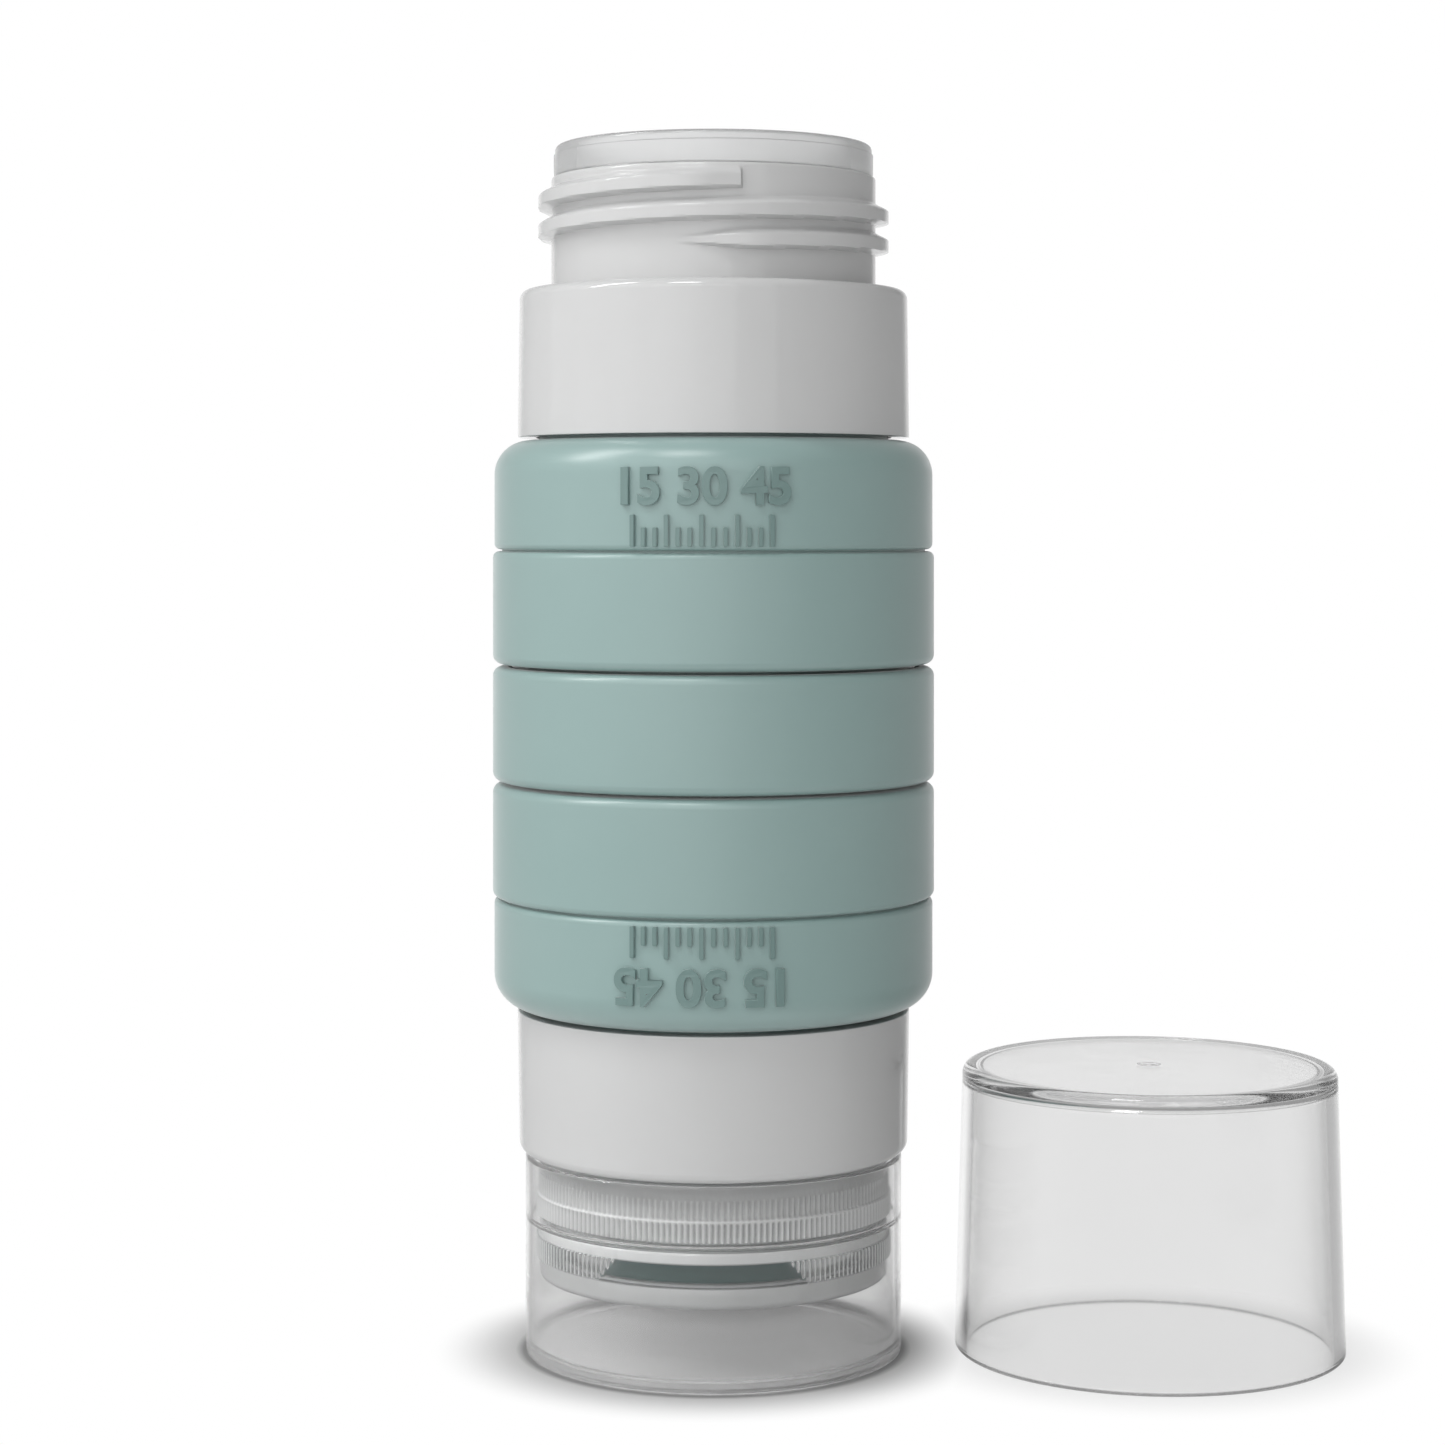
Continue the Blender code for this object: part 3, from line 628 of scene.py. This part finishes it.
def closure_plastic(name):
    """Milky plastic, lighter on the crests of its ribs, with painted shade darkening their roots, and quite
    clear in the window at the front.
    """
    surface = Surface(name)
    between = surface.between
    flow = surface.noise(**FLOW)
    x, y, height = surface.axes(surface.place)
    radius = surface.from_axis(surface.place)
    foot, head = (CLOSURE_BASE + level for level in LOWER_GRIP)
    groove = CLOSURE_BASE + CLOSURE_GROOVE[0]
    crest = between(radius, 0, 1, CLOSURE_RADIUS - RIB_SINK, CLOSURE_RADIUS + RIB_HEIGHT)

    # 0 in the window and 1 outside it
    aside = surface.math("SUBTRACT", surface.math("ARCTAN2", y, x), WINDOW_ANGLE)
    half = between(height, WINDOW_HALF_BASE, WINDOW_HALF_TOP, foot, head)
    past = surface.math("SUBTRACT", surface.math("ABSOLUTE", aside), half)
    beside = between(past, 0, 1, 0, WINDOW_FADE)
    above = between(height, 0, 1, head - BAND_FADE, head + BAND_FADE)
    below = between(height, 1, 0, foot - BAND_FADE, foot + BAND_FADE)
    outside = surface.math("MAXIMUM", above, below)
    milk = surface.math("MAXIMUM", beside, outside)

    # How clear the plastic is outside the window
    tips = surface.blend(outside, between(crest, 0, 1, *LOWER_CREST), between(crest, 0, 1, *UPPER_CREST))
    roots = between(outside, LOWER_ROOT_CLEAR, UPPER_ROOT_CLEAR, 0, 1)
    ribs = surface.blend(tips, roots, CREST_CLEAR)
    sunk = (CLOSURE_RADIUS - CLOSURE_GROOVE_DEPTH, CLOSURE_RADIUS - GROOVE_FADE)
    clear = surface.math("MAXIMUM", ribs, between(radius, GROOVE_CLEAR, 0, *sunk))
    under_groove = between(height, 1, 0, groove - BAND_FADE, groove)
    clear = surface.blend(below, clear, FOOT_CLEAR)
    clear = surface.blend(surface.math("MULTIPLY", above, under_groove), clear, LEDGE_CLEAR)

    surface.give({
        # painted shade: the roots of the ribs are darker than the crests
        "Base Color": surface.shades(crest, *CLOSURE_PAINTED_RIB_SHADES),
        "Roughness": between(flow, 0.05, 0.07),
        "Transmission Weight": surface.blend(milk, WINDOW_CLEAR, clear),
        "IOR": PLASTIC_IOR,
    })
    surface.bump(flow, distance=0.00002, strength=0.3)
    surface.let_lamps_through(0.85)
    return surface.material


def seal_rubber(name):
    """Pale matte seal."""
    surface = Surface(name)
    grain = surface.noise(scale=3000, detail=3)
    surface.give({
        "Base Color": surface.shades(grain, *SEAL_SHADES),
        "Roughness": surface.between(grain, 0.45, 0.6),
    })
    surface.bump(grain, distance=0.00001, strength=0.4)
    return surface.material


SILICONE = silicone("sage_silicone", SAGE)
# Painted shade: the marks' silicone is a darker copy of the sleeve's
PAINTED_SHADE_MARK_SILICONE = silicone("painted_shade_mark_silicone", MARK_PAINTED_SHADE_SAGE)
# Painted shade: the valve's silicone is a darker copy of the sleeve's
PAINTED_SHADE_VALVE_SILICONE = silicone("painted_shade_valve_silicone", VALVE_PAINTED_SHADE_SAGE)
WHITE = white_plastic("white_plastic")
FROSTED = frosted_plastic("frosted_plastic")
CLEAR = clear_plastic(
    "clear_plastic", level=0.918, roughness=(0.045, 0.06), transmission=1.0, passed=0.97,
)
CAP_PLASTIC = clear_plastic(
    "end_cap_plastic", level=0.89, roughness=(0.03, 0.045), transmission=0.985, passed=0.96,
    foot=CLOSURE_BASE,
)
CLOSURE_PLASTIC = closure_plastic("closure_plastic")
SEAL = seal_rubber("pale_seal")


# Pieces


def sleeve_skin(name, end, mouth):
    """Soft chamber with two bands. end is 1 for the upper one and -1 for the lower one."""
    top = BODY_HALF_HEIGHT - FIT
    lip = GROOVE_WIDTH / 2
    end_radius = BAND_RADIUS - END_BAND_EASE
    groove_radius = BAND_RADIUS - GROOVE_DEPTH
    floor = TAIL + SLEEVE_WALL
    bore = MOUTH_TUBE_RADIUS - MOUTH_TUBE_WALL
    inner = end_radius - SLEEVE_WALL
    outline = [
        (MOUTH_TUBE_RADIUS, mouth),
        (MOUTH_TUBE_RADIUS, top),
        (end_radius, top, *SHOULDER),
        (end_radius, GROOVE_HEIGHT + lip, *GROOVE_EDGE),
        (groove_radius, GROOVE_HEIGHT + lip / 2),
        (groove_radius, GROOVE_HEIGHT - lip / 2),
        (BAND_RADIUS, GROOVE_HEIGHT - lip, *GROOVE_EDGE),
        (BAND_RADIUS, FOOT, *BAND_EDGE),
        (TAIL_RADIUS, FOOT),
        (TAIL_RADIUS, TAIL),
        (0, TAIL),
        (0, floor),
        (TAIL_RADIUS - SLEEVE_WALL, floor, *SLEEVE_INSIDE),
        (TAIL_RADIUS - SLEEVE_WALL, FOOT + SLEEVE_WALL),
        (inner, FOOT + SLEEVE_WALL, *SLEEVE_INSIDE),
        (inner, top - SLEEVE_WALL, *SHOULDER_INSIDE),
        (bore, top - SLEEVE_WALL),
        (bore, mouth),
    ]
    placed = [(corner[0], MIDDLE + end * corner[1], *corner[2:]) for corner in outline]
    skin = lathe(name + "_skin", filleted(placed))
    dress(skin, "bottle", name, SILICONE)


def middle_band_skin():
    low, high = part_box("middle_band")
    inner = BAND_RADIUS - MIDDLE_BAND_WALL
    outline = [
        (BAND_RADIUS, high.z, *BAND_EDGE),
        (BAND_RADIUS, low.z, *BAND_EDGE),
        (inner, low.z),
        (inner, high.z),
    ]
    skin = lathe("middle_band_skin", filleted(outline))
    dress(skin, "bottle", "middle_band", SILICONE)


def collar_skin(name, end, face, neck_radius, neck_rim, plain, steps, thread, depth):
    """Collar with its skirt and its threaded neck. end is 1 for the upper one and -1 for the lower one."""
    edge = MIDDLE + end * BODY_HALF_HEIGHT
    ceiling = face - end * COLLAR_END_WALL
    skirt = edge - end * SKIRT_REACH
    seat = face + end * LINER_SEAT
    bore = neck_radius - NECK_WALL
    outline = [
        (neck_radius, neck_rim, *RIM),
        (neck_radius, face + end * NECK_FOOT),
        (neck_radius + NECK_FOOT, face),
        (COLLAR_END_RADIUS, face, *FACE_EDGE),
        (COLLAR_RADIUS, edge, *SOCKET_EDGE),
        (SOCKET_RADIUS, edge),
        (SOCKET_RADIUS, ceiling),
        (SKIRT_RADIUS, ceiling),
        (SKIRT_RADIUS, skirt),
        (SKIRT_BORE, skirt),
        (SKIRT_BORE, seat),
        (bore, seat),
        (bore, neck_rim, *RIM),
    ]
    low, high = sorted((face + end * plain, neck_rim))
    points = with_rows(filleted(outline), neck_radius, low, high)
    skin = lathe(name + "_skin", points, steps, threaded_wall(neck_radius, thread, depth))
    dress(skin, "bottle", name, WHITE)


def liner_skin():
    """Insert whose lip stands on the upper neck, with a small step round its top."""
    base = UPPER_NECK_RIM + LINER_GAP
    outer = UPPER_NECK_RADIUS - NECK_WALL - FIT
    inner = outer - LINER_WALL
    ledge = LIP_TOP - LIP_LEDGE_DROP
    outline = [
        (LIP_RADIUS - LIP_LEDGE, LIP_TOP, *LIP_EDGE),
        (LIP_RADIUS - LIP_LEDGE, ledge),
        (LIP_RADIUS, ledge - LIP_LEDGE_SLOPE),
        (LIP_RADIUS, base, *FINE_RIM),
        (outer, base),
        (outer, LINER_FOOT),
        (inner, LINER_FOOT),
        (inner, LIP_TOP, *RIM),
    ]
    skin = lathe("mouth_liner_skin", filleted(outline))
    dress(skin, "bottle", "mouth_liner", FROSTED)


def closure_outline(lower, upper, groove, crest, middle):
    base = CLOSURE_BASE
    groove_radius = CLOSURE_RADIUS - CLOSURE_GROOVE_DEPTH
    run = RIB_HEIGHT * RIB_END_SLOPE
    return [
        (CLOSURE_RADIUS, CLOSURE_RIM, *RIM),
        (CLOSURE_RADIUS, upper[1]),
        (crest - RIB_STEP, upper[1] - run, *FINE),
        (crest - RIB_STEP, middle + RIB_STEP, *HAIR),
        (crest, middle, *TIER_EDGE),
        (crest, middle - TIER_BEAD),
        (crest, upper[0] + run / 2, *CRISP),
        (CLOSURE_RADIUS, upper[0]),
        (groove_radius, groove[1], *HAIR),
        (groove_radius, groove[0], *HAIR),
        (CLOSURE_RADIUS, groove[0], *ROUND_RIM),
        (CLOSURE_RADIUS, lower[1] + WELD),
        (crest, lower[1] - run / 2, *CRISP),
        (crest, lower[0] + run, *FINE),
        (CLOSURE_RADIUS, lower[0]),
        (CLOSURE_RADIUS, base, *CLOSURE_FOOT),
        (ORIFICE_RADIUS, base, *FINE),
        (ORIFICE_RADIUS, base + CLOSURE_END_WALL),
        (VALVE_SEAT_RADIUS, base + CLOSURE_END_WALL),
        (VALVE_SEAT_RADIUS, base + LEDGE),
        (CLOSURE_BORE, base + LEDGE),
        (CLOSURE_BORE, CLOSURE_RIM, *FINE),
    ]


def closure_thread():
    """Thread in the bore, turned so that it runs halfway between the turns of the neck's bead."""
    start = CLOSURE_BASE + LEDGE + CLOSURE_THREAD_RISE
    laps = (start - LOWER_THREAD["start"]) / LOWER_THREAD["pitch"] - 0.5
    return LOWER_THREAD | dict(
        start=start,
        start_angle=LOWER_THREAD["start_angle"] + math.tau * laps,
        turns=CLOSURE_THREAD_TURNS,
        lead_out=LOWER_THREAD["lead_in"],
    )


def closure_skin():
    """Clear screw cap with two tiers of fine ribs and a plain window in the lower tier."""
    lower = [CLOSURE_BASE + height for height in LOWER_GRIP]
    upper = [CLOSURE_BASE + height for height in UPPER_GRIP]
    groove = [CLOSURE_BASE + height for height in CLOSURE_GROOVE]
    crest = CLOSURE_RADIUS + RIB_HEIGHT
    middle = (upper[0] + upper[1]) / 2
    bore_relief = threaded_wall(CLOSURE_BORE, closure_thread(), -LOWER_THREAD_DEPTH)

    def relief(angle, radius, height):
        """Ribs with a bead in the upper tier and a gap at the window, and the thread in the bore."""
        if radius <= CLOSURE_RADIUS + WELD:
            return bore_relief(angle, radius, height)
        in_lower_tier = height < groove[0]
        power = LOWER_RIB_POWER if in_lower_tier else UPPER_RIB_POWER
        ridge = (0.5 + 0.5 * math.cos(angle * RIB_COUNT)) ** power
        ridge += (1 - ridge) * TIER_BEAD_SHARE * (1 - smooth(abs(height - middle) / TIER_BEAD))
        if in_lower_tier:
            down = (lower[1] - height) / (lower[1] - lower[0])
            half = WINDOW_HALF_TOP + (WINDOW_HALF_BASE - WINDOW_HALF_TOP) * min(1, max(0, down))
            ridge *= smooth((abs(angle_from(angle, WINDOW_ANGLE)) - half) / WINDOW_RIB_FADE)
        return CLOSURE_RADIUS - RIB_SINK + (radius - CLOSURE_RADIUS + RIB_SINK) * ridge

    points = filleted(closure_outline(lower, upper, groove, crest, middle))
    points = with_rows(points, CLOSURE_BORE, CLOSURE_BASE + LEDGE + WELD, CLOSURE_RIM - CLOSURE_RIM_PLAIN)
    points = with_rows(points, crest, *lower)
    skin = lathe("dispensing_cap_skin", points, RIB_COUNT * RIB_STEPS, relief)
    dress(skin, "closure", "dispensing_cap", CLOSURE_PLASTIC)


def end_cap_skin():
    """Clear straight cap that stands on a low ring, with a snap bead inside."""
    low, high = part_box("end_cap")
    bore = END_CAP_RADIUS - END_CAP_WALL
    floor = low.z + END_CAP_FLOOR
    ring = END_CAP_RADIUS - FOOT_RING_WIDTH
    underside = low.z + FOOT_RING_HEIGHT
    snap = CLOSURE_BASE + sum(CLOSURE_GROOVE) / 2
    outline = [
        (END_CAP_RADIUS, high.z, *RIM),
        (END_CAP_RADIUS, low.z + FLOOR_GAP, *ROUND_RIM),
        (ring, low.z + FLOOR_GAP),
        (ring - FOOT_RING_SLOPE, underside),
        (0, underside),
        (0, floor),
        (bore, floor, *CAP_INSIDE),
        (bore, snap - SNAP_BEAD),
        (bore - SNAP_BEAD, snap, *SNAP_BEAD_EDGE),
        (bore, snap + SNAP_BEAD),
        (bore, high.z, *FINE),
    ]
    skin = lathe("end_cap_skin", filleted(outline))
    dress(skin, "base_cap", "end_cap", CAP_PLASTIC)


def travel_cap_skin():
    """Clear tapered cap, whose top has the small mark of its moulding gate."""
    top_radius = CAP_RIM_RADIUS - CAP_TAPER
    roof = CAP_TOP - CAP_WALL
    outline = [
        *((radius, CAP_TOP - depth) for radius, depth in GATE_MARK),
        (GATE_MARK_RADIUS, CAP_TOP, *CRISP),
        (top_radius, CAP_TOP, *FACE_EDGE),
        (CAP_RIM_RADIUS, FLOOR_GAP, *RIM),
        (CAP_RIM_RADIUS - CAP_WALL, FLOOR_GAP, *RIM),
        (top_radius - CAP_WALL, roof, *ROOF_INSIDE),
        (0, roof),
    ]
    skin = lathe("travel_cap_skin", filleted(outline))
    skin.data.transform(Matrix.Translation((CAP_AXIS, 0, 0)))
    dress(skin, "cover_cap", "travel_cap", CLEAR)


def valve_skin():
    """Sage disc with a dome, through which two slits cross."""
    base = CLOSURE_BASE + CLOSURE_END_WALL + FIT
    dome_radius = ORIFICE_RADIUS - DOME_GAP
    ceiling = VALVE_DOME + VALVE_WALL
    outline = [
        (VALVE_RADIUS, VALVE_TOP, *FINE_RIM),
        (VALVE_RADIUS, base, *FINE_RIM),
        (dome_radius, base),
        (dome_radius, VALVE_DOME, *DOME_EDGE),
        (0, VALVE_DOME),
        (0, ceiling),
        (dome_radius - VALVE_WALL, ceiling, *DOME_INSIDE),
        (VALVE_DISH_RADIUS, VALVE_TOP),
    ]
    valve = lathe("valve_skin", filleted(outline))
    for degrees in (45, 135):
        cut_slit(valve, math.radians(degrees), 2 * SLIT_SHARE * dome_radius)
    dress(valve, "closure", "valve", PAINTED_SHADE_VALVE_SILICONE)


def cut_slit(valve, angle, length):
    """Cut one slit of the cross through the middle of the valve."""
    work = bmesh.new()
    scale = Matrix.Diagonal((length, SLIT_WIDTH, SLIT_DEPTH, 1))
    place = Matrix.Translation((0, 0, VALVE_DOME + VALVE_WALL / 2)) @ Matrix.Rotation(angle, 4, "Z")
    bmesh.ops.create_cube(work, size=1, matrix=place @ scale)
    mesh = bpy.data.meshes.new("slit")
    work.to_mesh(mesh)
    work.free()
    cutter = placed_object("slit", mesh)
    boolean = valve.modifiers.new("slit", "BOOLEAN")
    boolean.operation = "DIFFERENCE"
    boolean.object = cutter
    apply_modifiers(valve)
    bpy.data.objects.remove(cutter)


def flat_ring_skin(node, body, width, material):
    low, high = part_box(node)
    bore = high.x - width
    corners = ((high.x, high.z), (high.x, low.z), (bore, low.z), (bore, high.z))
    outline = [(*corner, *CRISP) for corner in corners]
    dress(lathe(node + "_skin", filleted(outline)), body, node, material)


def wrap(mesh, radius, centre_height, upright):
    """Bend a flat mesh (x along, y up, z out) onto the front of the bottle."""
    for vert in mesh.vertices:
        angle = MARK_CENTRE + upright * vert.co.x / radius
        out = radius + vert.co.z
        height = centre_height + upright * vert.co.y
        vert.co = Vector((out * math.cos(angle), out * math.sin(angle), height))


def raised_digits(name):
    """Flat raised digits, centred over the ticks."""
    curve = bpy.data.curves.new(name, "FONT")
    curve.body = DIGITS
    curve.size = DIGIT_SIZE
    curve.align_x = "CENTER"
    curve.align_y = "CENTER"
    curve.extrude = MARK_THICKNESS / 2
    curve.bevel_depth = DIGIT_BEVEL
    curve.bevel_resolution = 1
    curve.offset = DIGIT_SWELL
    curve.resolution_u = DIGIT_CURVE_STEPS
    holder = placed_object(name, curve)
    mesh = mesh_as_seen(holder)
    bpy.data.objects.remove(holder)
    mesh.transform(Matrix.Translation((0, DIGIT_MIDDLE, (MARK_RELIEF - MARK_SINK) / 2)))
    return mesh


def tick_row(name):
    """Row of short raised ticks, every third one taller."""
    work = bmesh.new()
    for index in range(TICK_COUNT):
        tall = SHORT_TICK if index % TALL_TICK_EVERY else TALL_TICK
        x = TICK_ROW_WIDTH * (index / (TICK_COUNT - 1) - 0.5)
        size = Matrix.Diagonal((TICK_WIDTH, tall, MARK_THICKNESS, 1))
        place = Matrix.Translation((x, TICK_BASE + tall / 2, (MARK_RELIEF - MARK_SINK) / 2))
        made = bmesh.ops.create_cube(work, size=1, matrix=place @ size)
        edges = {edge for vert in made["verts"] for edge in vert.link_edges}
        bmesh.ops.bevel(work, geom=list(edges), offset=TICK_BEVEL, segments=2, affect="EDGES")
    mesh = bpy.data.meshes.new(name)
    work.to_mesh(mesh)
    work.free()
    return mesh


def raised_marks(name, height, upright):
    """Plain numbers over a row of ticks, raised on an end band. upright is -1 where they are upside down."""
    work = bmesh.new()
    work.from_mesh(raised_digits(name + "_digits"))
    work.from_mesh(tick_row(name + "_ticks"))
    bmesh.ops.remove_doubles(work, verts=work.verts, dist=WELD)
    bmesh.ops.recalc_face_normals(work, faces=work.faces)
    mesh = bpy.data.meshes.new(name)
    work.to_mesh(mesh)
    work.free()
    wrap(mesh, BAND_RADIUS - END_BAND_EASE, height, upright)
    mesh.materials.append(PAINTED_SHADE_MARK_SILICONE)
    obj = placed_object(name, mesh)
    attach(obj, "bottle")


sleeve_skin("upper_sleeve", 1, UPPER_SLEEVE_END - MIDDLE)
sleeve_skin("lower_sleeve", -1, MIDDLE - LOWER_SLEEVE_END)
middle_band_skin()
collar_skin(
    "upper_collar", 1, UPPER_COLLAR_TOP, UPPER_NECK_RADIUS, UPPER_NECK_RIM, UPPER_NECK_PLAIN,
    UPPER_COLLAR_STEPS, UPPER_THREAD, UPPER_THREAD_DEPTH,
)
collar_skin(
    "lower_collar", -1, LOWER_COLLAR_BASE, LOWER_NECK_RADIUS, LOWER_NECK_RIM, 0,
    LOWER_COLLAR_STEPS, LOWER_THREAD, LOWER_THREAD_DEPTH,
)
liner_skin()
closure_skin()
end_cap_skin()
travel_cap_skin()
valve_skin()
flat_ring_skin("valve_retainer", "closure", RETAINER_WIDTH, FROSTED)
flat_ring_skin("sealing_washer", "seal", WASHER_WIDTH, SEAL)
raised_marks("upper_marks", UPPER_MARKS_HEIGHT, 1)
raised_marks("lower_marks", LOWER_MARKS_HEIGHT, -1)

# The hub keeps its CAD shape
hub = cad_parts["coupling_hub"]
hub.data.materials.clear()
hub.data.materials.append(WHITE)


# Studio

CAMERA_PLACE = (0.0009, -0.3241, 0.0825)
CAMERA_LENS = 80.74
CAMERA_SENSOR = 36
CAMERA_SHIFT = -0.1394
PANEL_DISTANCE = 0.9
PANEL_AIM = Vector((0.01, 0, 0.06))
SOFTBOX_LEVELS = (0.5, 1.0, 1.15, 0.85, 0.55, 0.3)
SOFTBOX_RIGHT_EDGE = 36  # degrees, like the step and the elevation
SOFTBOX_STEP = 24
SOFTBOX_ELEVATION = 12
SOFTBOX_HEIGHT = 1.1
AMBIENT_LEFT = 0.56  # soft light from all round, strongest on the left
AMBIENT_RIGHT = 0.16
LIGHT_BOUNCES = 24

# What gloss and glass see: spreads of a direction's Y or Z, and levels
FRONT_SPREAD = (-0.95, -0.2)
BACK_SPREAD = (0.85, 0.95)
LIFT_SPREAD = (0.02, 0.30)
DOWN_SPREAD = (-0.85, -0.40)
FRONT_LEVEL = 0.35
SIDE_LEVEL = 0.5
LIFT_LEVEL = 0.65

# Floor
FLOOR_SIZE = 6.0
# Painted shade: near each foot the floor's colour is darker, and real shade falls on it too; it fades to
# plain white further out
FLOOR_FADE = 0.0095  # width of the soft shadow round the bottle's foot
CAP_FLOOR_FADE = 0.008
FADE_INSIDE = 1 / 6  # share of its width by which a fade starts inside the foot
CAP_FLOOR_LEAST = 0.74  # share of plain white under the clear cap, whose shadow is faint
# Painted shade: the floor's colour near the feet
FLOOR_PAINTED_SHADE = 0.44
# Painted shade: a dark line painted where the bottle's foot meets the table
PAINTED_CONTACT_LINE = (0.0002, 0.0010)  # dark line where the foot meets the table
PAINTED_CONTACT_SHADE = 0.2
BARE_FLOOR_SHADE = 0.82  # for the light that the floor throws back


def make_camera():
    data = bpy.data.cameras.new("camera")
    data.lens = CAMERA_LENS
    data.sensor_width = CAMERA_SENSOR
    data.shift_y = CAMERA_SHIFT
    camera = placed_object("camera", data)
    camera.location = CAMERA_PLACE
    camera.rotation_euler = (math.radians(90), 0, 0)
    bpy.context.scene.camera = camera


def make_panel(name, azimuth, elevation, width, height, radiance):
    """Soft panel that faces the bottle. azimuth runs from the camera's side towards the right."""
    data = bpy.data.lights.new(name, "AREA")
    data.shape = "RECTANGLE"
    data.size = width
    data.size_y = height
    data.energy = radiance * math.pi * width * height
    angle = math.radians(azimuth)
    lift = math.radians(elevation)
    out = Vector((math.sin(angle) * math.cos(lift), -math.cos(angle) * math.cos(lift), math.sin(lift)))
    panel = placed_object(name, data)
    panel.location = PANEL_AIM + out * PANEL_DISTANCE
    panel.rotation_euler = (-out).to_track_quat("-Z", "Y").to_euler()
    panel.visible_camera = False


def make_curved_softbox():
    """Upright panels side by side on an arc, from its right edge round to the left."""
    width = 2 * PANEL_DISTANCE * math.tan(math.radians(SOFTBOX_STEP / 2))
    for index, level in enumerate(SOFTBOX_LEVELS):
        azimuth = SOFTBOX_RIGHT_EDGE - SOFTBOX_STEP * (index + 0.5)
        make_panel(f"softbox_{index}", azimuth, SOFTBOX_ELEVATION, width, SOFTBOX_HEIGHT, level)


def level_by_direction(nodes, direction):
    """White behind, grey at the sides, darker in front and further up, and lighter straight below."""
    y, z = nodes.axes(direction)[1:]
    front = nodes.between(y, FRONT_LEVEL, SIDE_LEVEL, *FRONT_SPREAD, "SMOOTHSTEP")
    back = nodes.between(y, 0, 1 - SIDE_LEVEL, *BACK_SPREAD, "SMOOTHSTEP")
    lift = nodes.between(z, 1, LIFT_LEVEL, *LIFT_SPREAD, "SMOOTHSTEP")
    down = nodes.between(z, 1 - SIDE_LEVEL, 0, *DOWN_SPREAD, "SMOOTHSTEP")
    lifted = nodes.math("MULTIPLY", nodes.math("ADD", front, back), lift)
    return nodes.math("ADD", lifted, down, clamp=True)


def make_world():
    """White for the camera, a studio with grey sides for gloss and glass, and soft light for the rest."""
    world = bpy.data.worlds.new("studio")
    bpy.context.scene.world = world
    world.use_nodes = True
    nodes = Nodes(world.node_tree)
    path = nodes.add("ShaderNodeLightPath").outputs
    direction = nodes.add("ShaderNodeTexCoord").outputs["Generated"]
    mirrored = nodes.math("MAXIMUM", path["Is Glossy Ray"], path["Is Transmission Ray"])
    ambient = nodes.between(nodes.axes(direction)["X"], AMBIENT_LEFT, AMBIENT_RIGHT, -1, 1)
    seen = nodes.blend(mirrored, ambient, level_by_direction(nodes, direction))
    level = nodes.blend(path["Is Camera Ray"], seen, 1)
    nodes.feed(nodes.tree.nodes["Background"], {"Strength": level, "Color": grey(1)})


def make_floor():
    """White table, painted darker round each foot, where real shade falls too, and plain white further out.
    """
    half = FLOOR_SIZE / 2
    corners = [(-half, -half, 0), (half, -half, 0), (half, half, 0), (-half, half, 0)]
    mesh = bpy.data.meshes.new("floor")
    mesh.from_pydata(corners, [], [(0, 1, 2, 3)])
    floor = placed_object("floor", mesh)
    table = Surface("white_table")
    table.tree.nodes.remove(table.shader)
    path = table.add("ShaderNodeLightPath").outputs

    # Painted shade: a darker floor near the feet, and a dark line painted where the bottle's foot meets the
    # table
    from_bottle = table.math("SUBTRACT", table.from_axis(table.place), END_CAP_RADIUS)
    from_cap = table.math("SUBTRACT", table.from_axis(table.place, CAP_AXIS), CAP_RIM_RADIUS)
    painted_shade_floor = table.add("ShaderNodeBsdfDiffuse")
    painted_contact = table.between(table.math("ABSOLUTE", from_bottle), PAINTED_CONTACT_SHADE, FLOOR_PAINTED_SHADE, *PAINTED_CONTACT_LINE)
    table.feed(painted_shade_floor, {"Color": painted_contact})

    # Plain white for the camera, and for gloss and glass the level of the surroundings
    incoming = table.add("ShaderNodeNewGeometry").outputs["Incoming"]
    direction = table.vector_math("SCALE", {0: incoming, "Scale": -1})[0]
    white = table.add("ShaderNodeEmission")
    level = table.blend(path["Is Camera Ray"], level_by_direction(table, direction), 1)
    table.feed(white, {"Strength": level})

    # The painted shade fades into plain white away from each foot, and stays faint under the clear cap
    fades = []
    for away, least, width in ((from_bottle, 0, FLOOR_FADE), (from_cap, CAP_FLOOR_LEAST, CAP_FLOOR_FADE)):
        fades.append(table.between(away, least, 1, -width * FADE_INSIDE, width, "SMOOTHSTEP"))
    fade = table.math("MINIMUM", *fades)
    faded = table.mix_shaders(fade, painted_shade_floor.outputs["BSDF"], white.outputs["Emission"])
    bare = table.add("ShaderNodeBsdfDiffuse")
    table.feed(bare, {"Color": grey(BARE_FLOOR_SHADE)})
    is_seen = path["Is Camera Ray"]
    for ray in ("Is Glossy Ray", "Is Transmission Ray"):
        is_seen = table.math("MAXIMUM", is_seen, path[ray])
    table.show(table.mix_shaders(is_seen, bare.outputs["BSDF"], faded))
    mesh.materials.append(table.material)


make_camera()
make_floor()
make_curved_softbox()
make_panel("lamp", azimuth=-80, elevation=46, width=0.09, height=0.50, radiance=18)
make_panel("top", azimuth=-25, elevation=60, width=0.22, height=0.22, radiance=10)
make_world()

scene = bpy.context.scene
scene.view_settings.view_transform = "Standard"
scene.cycles.max_bounces = LIGHT_BOUNCES
scene.cycles.glossy_bounces = LIGHT_BOUNCES
scene.cycles.transmission_bounces = LIGHT_BOUNCES
scene.cycles.transparent_max_bounces = LIGHT_BOUNCES
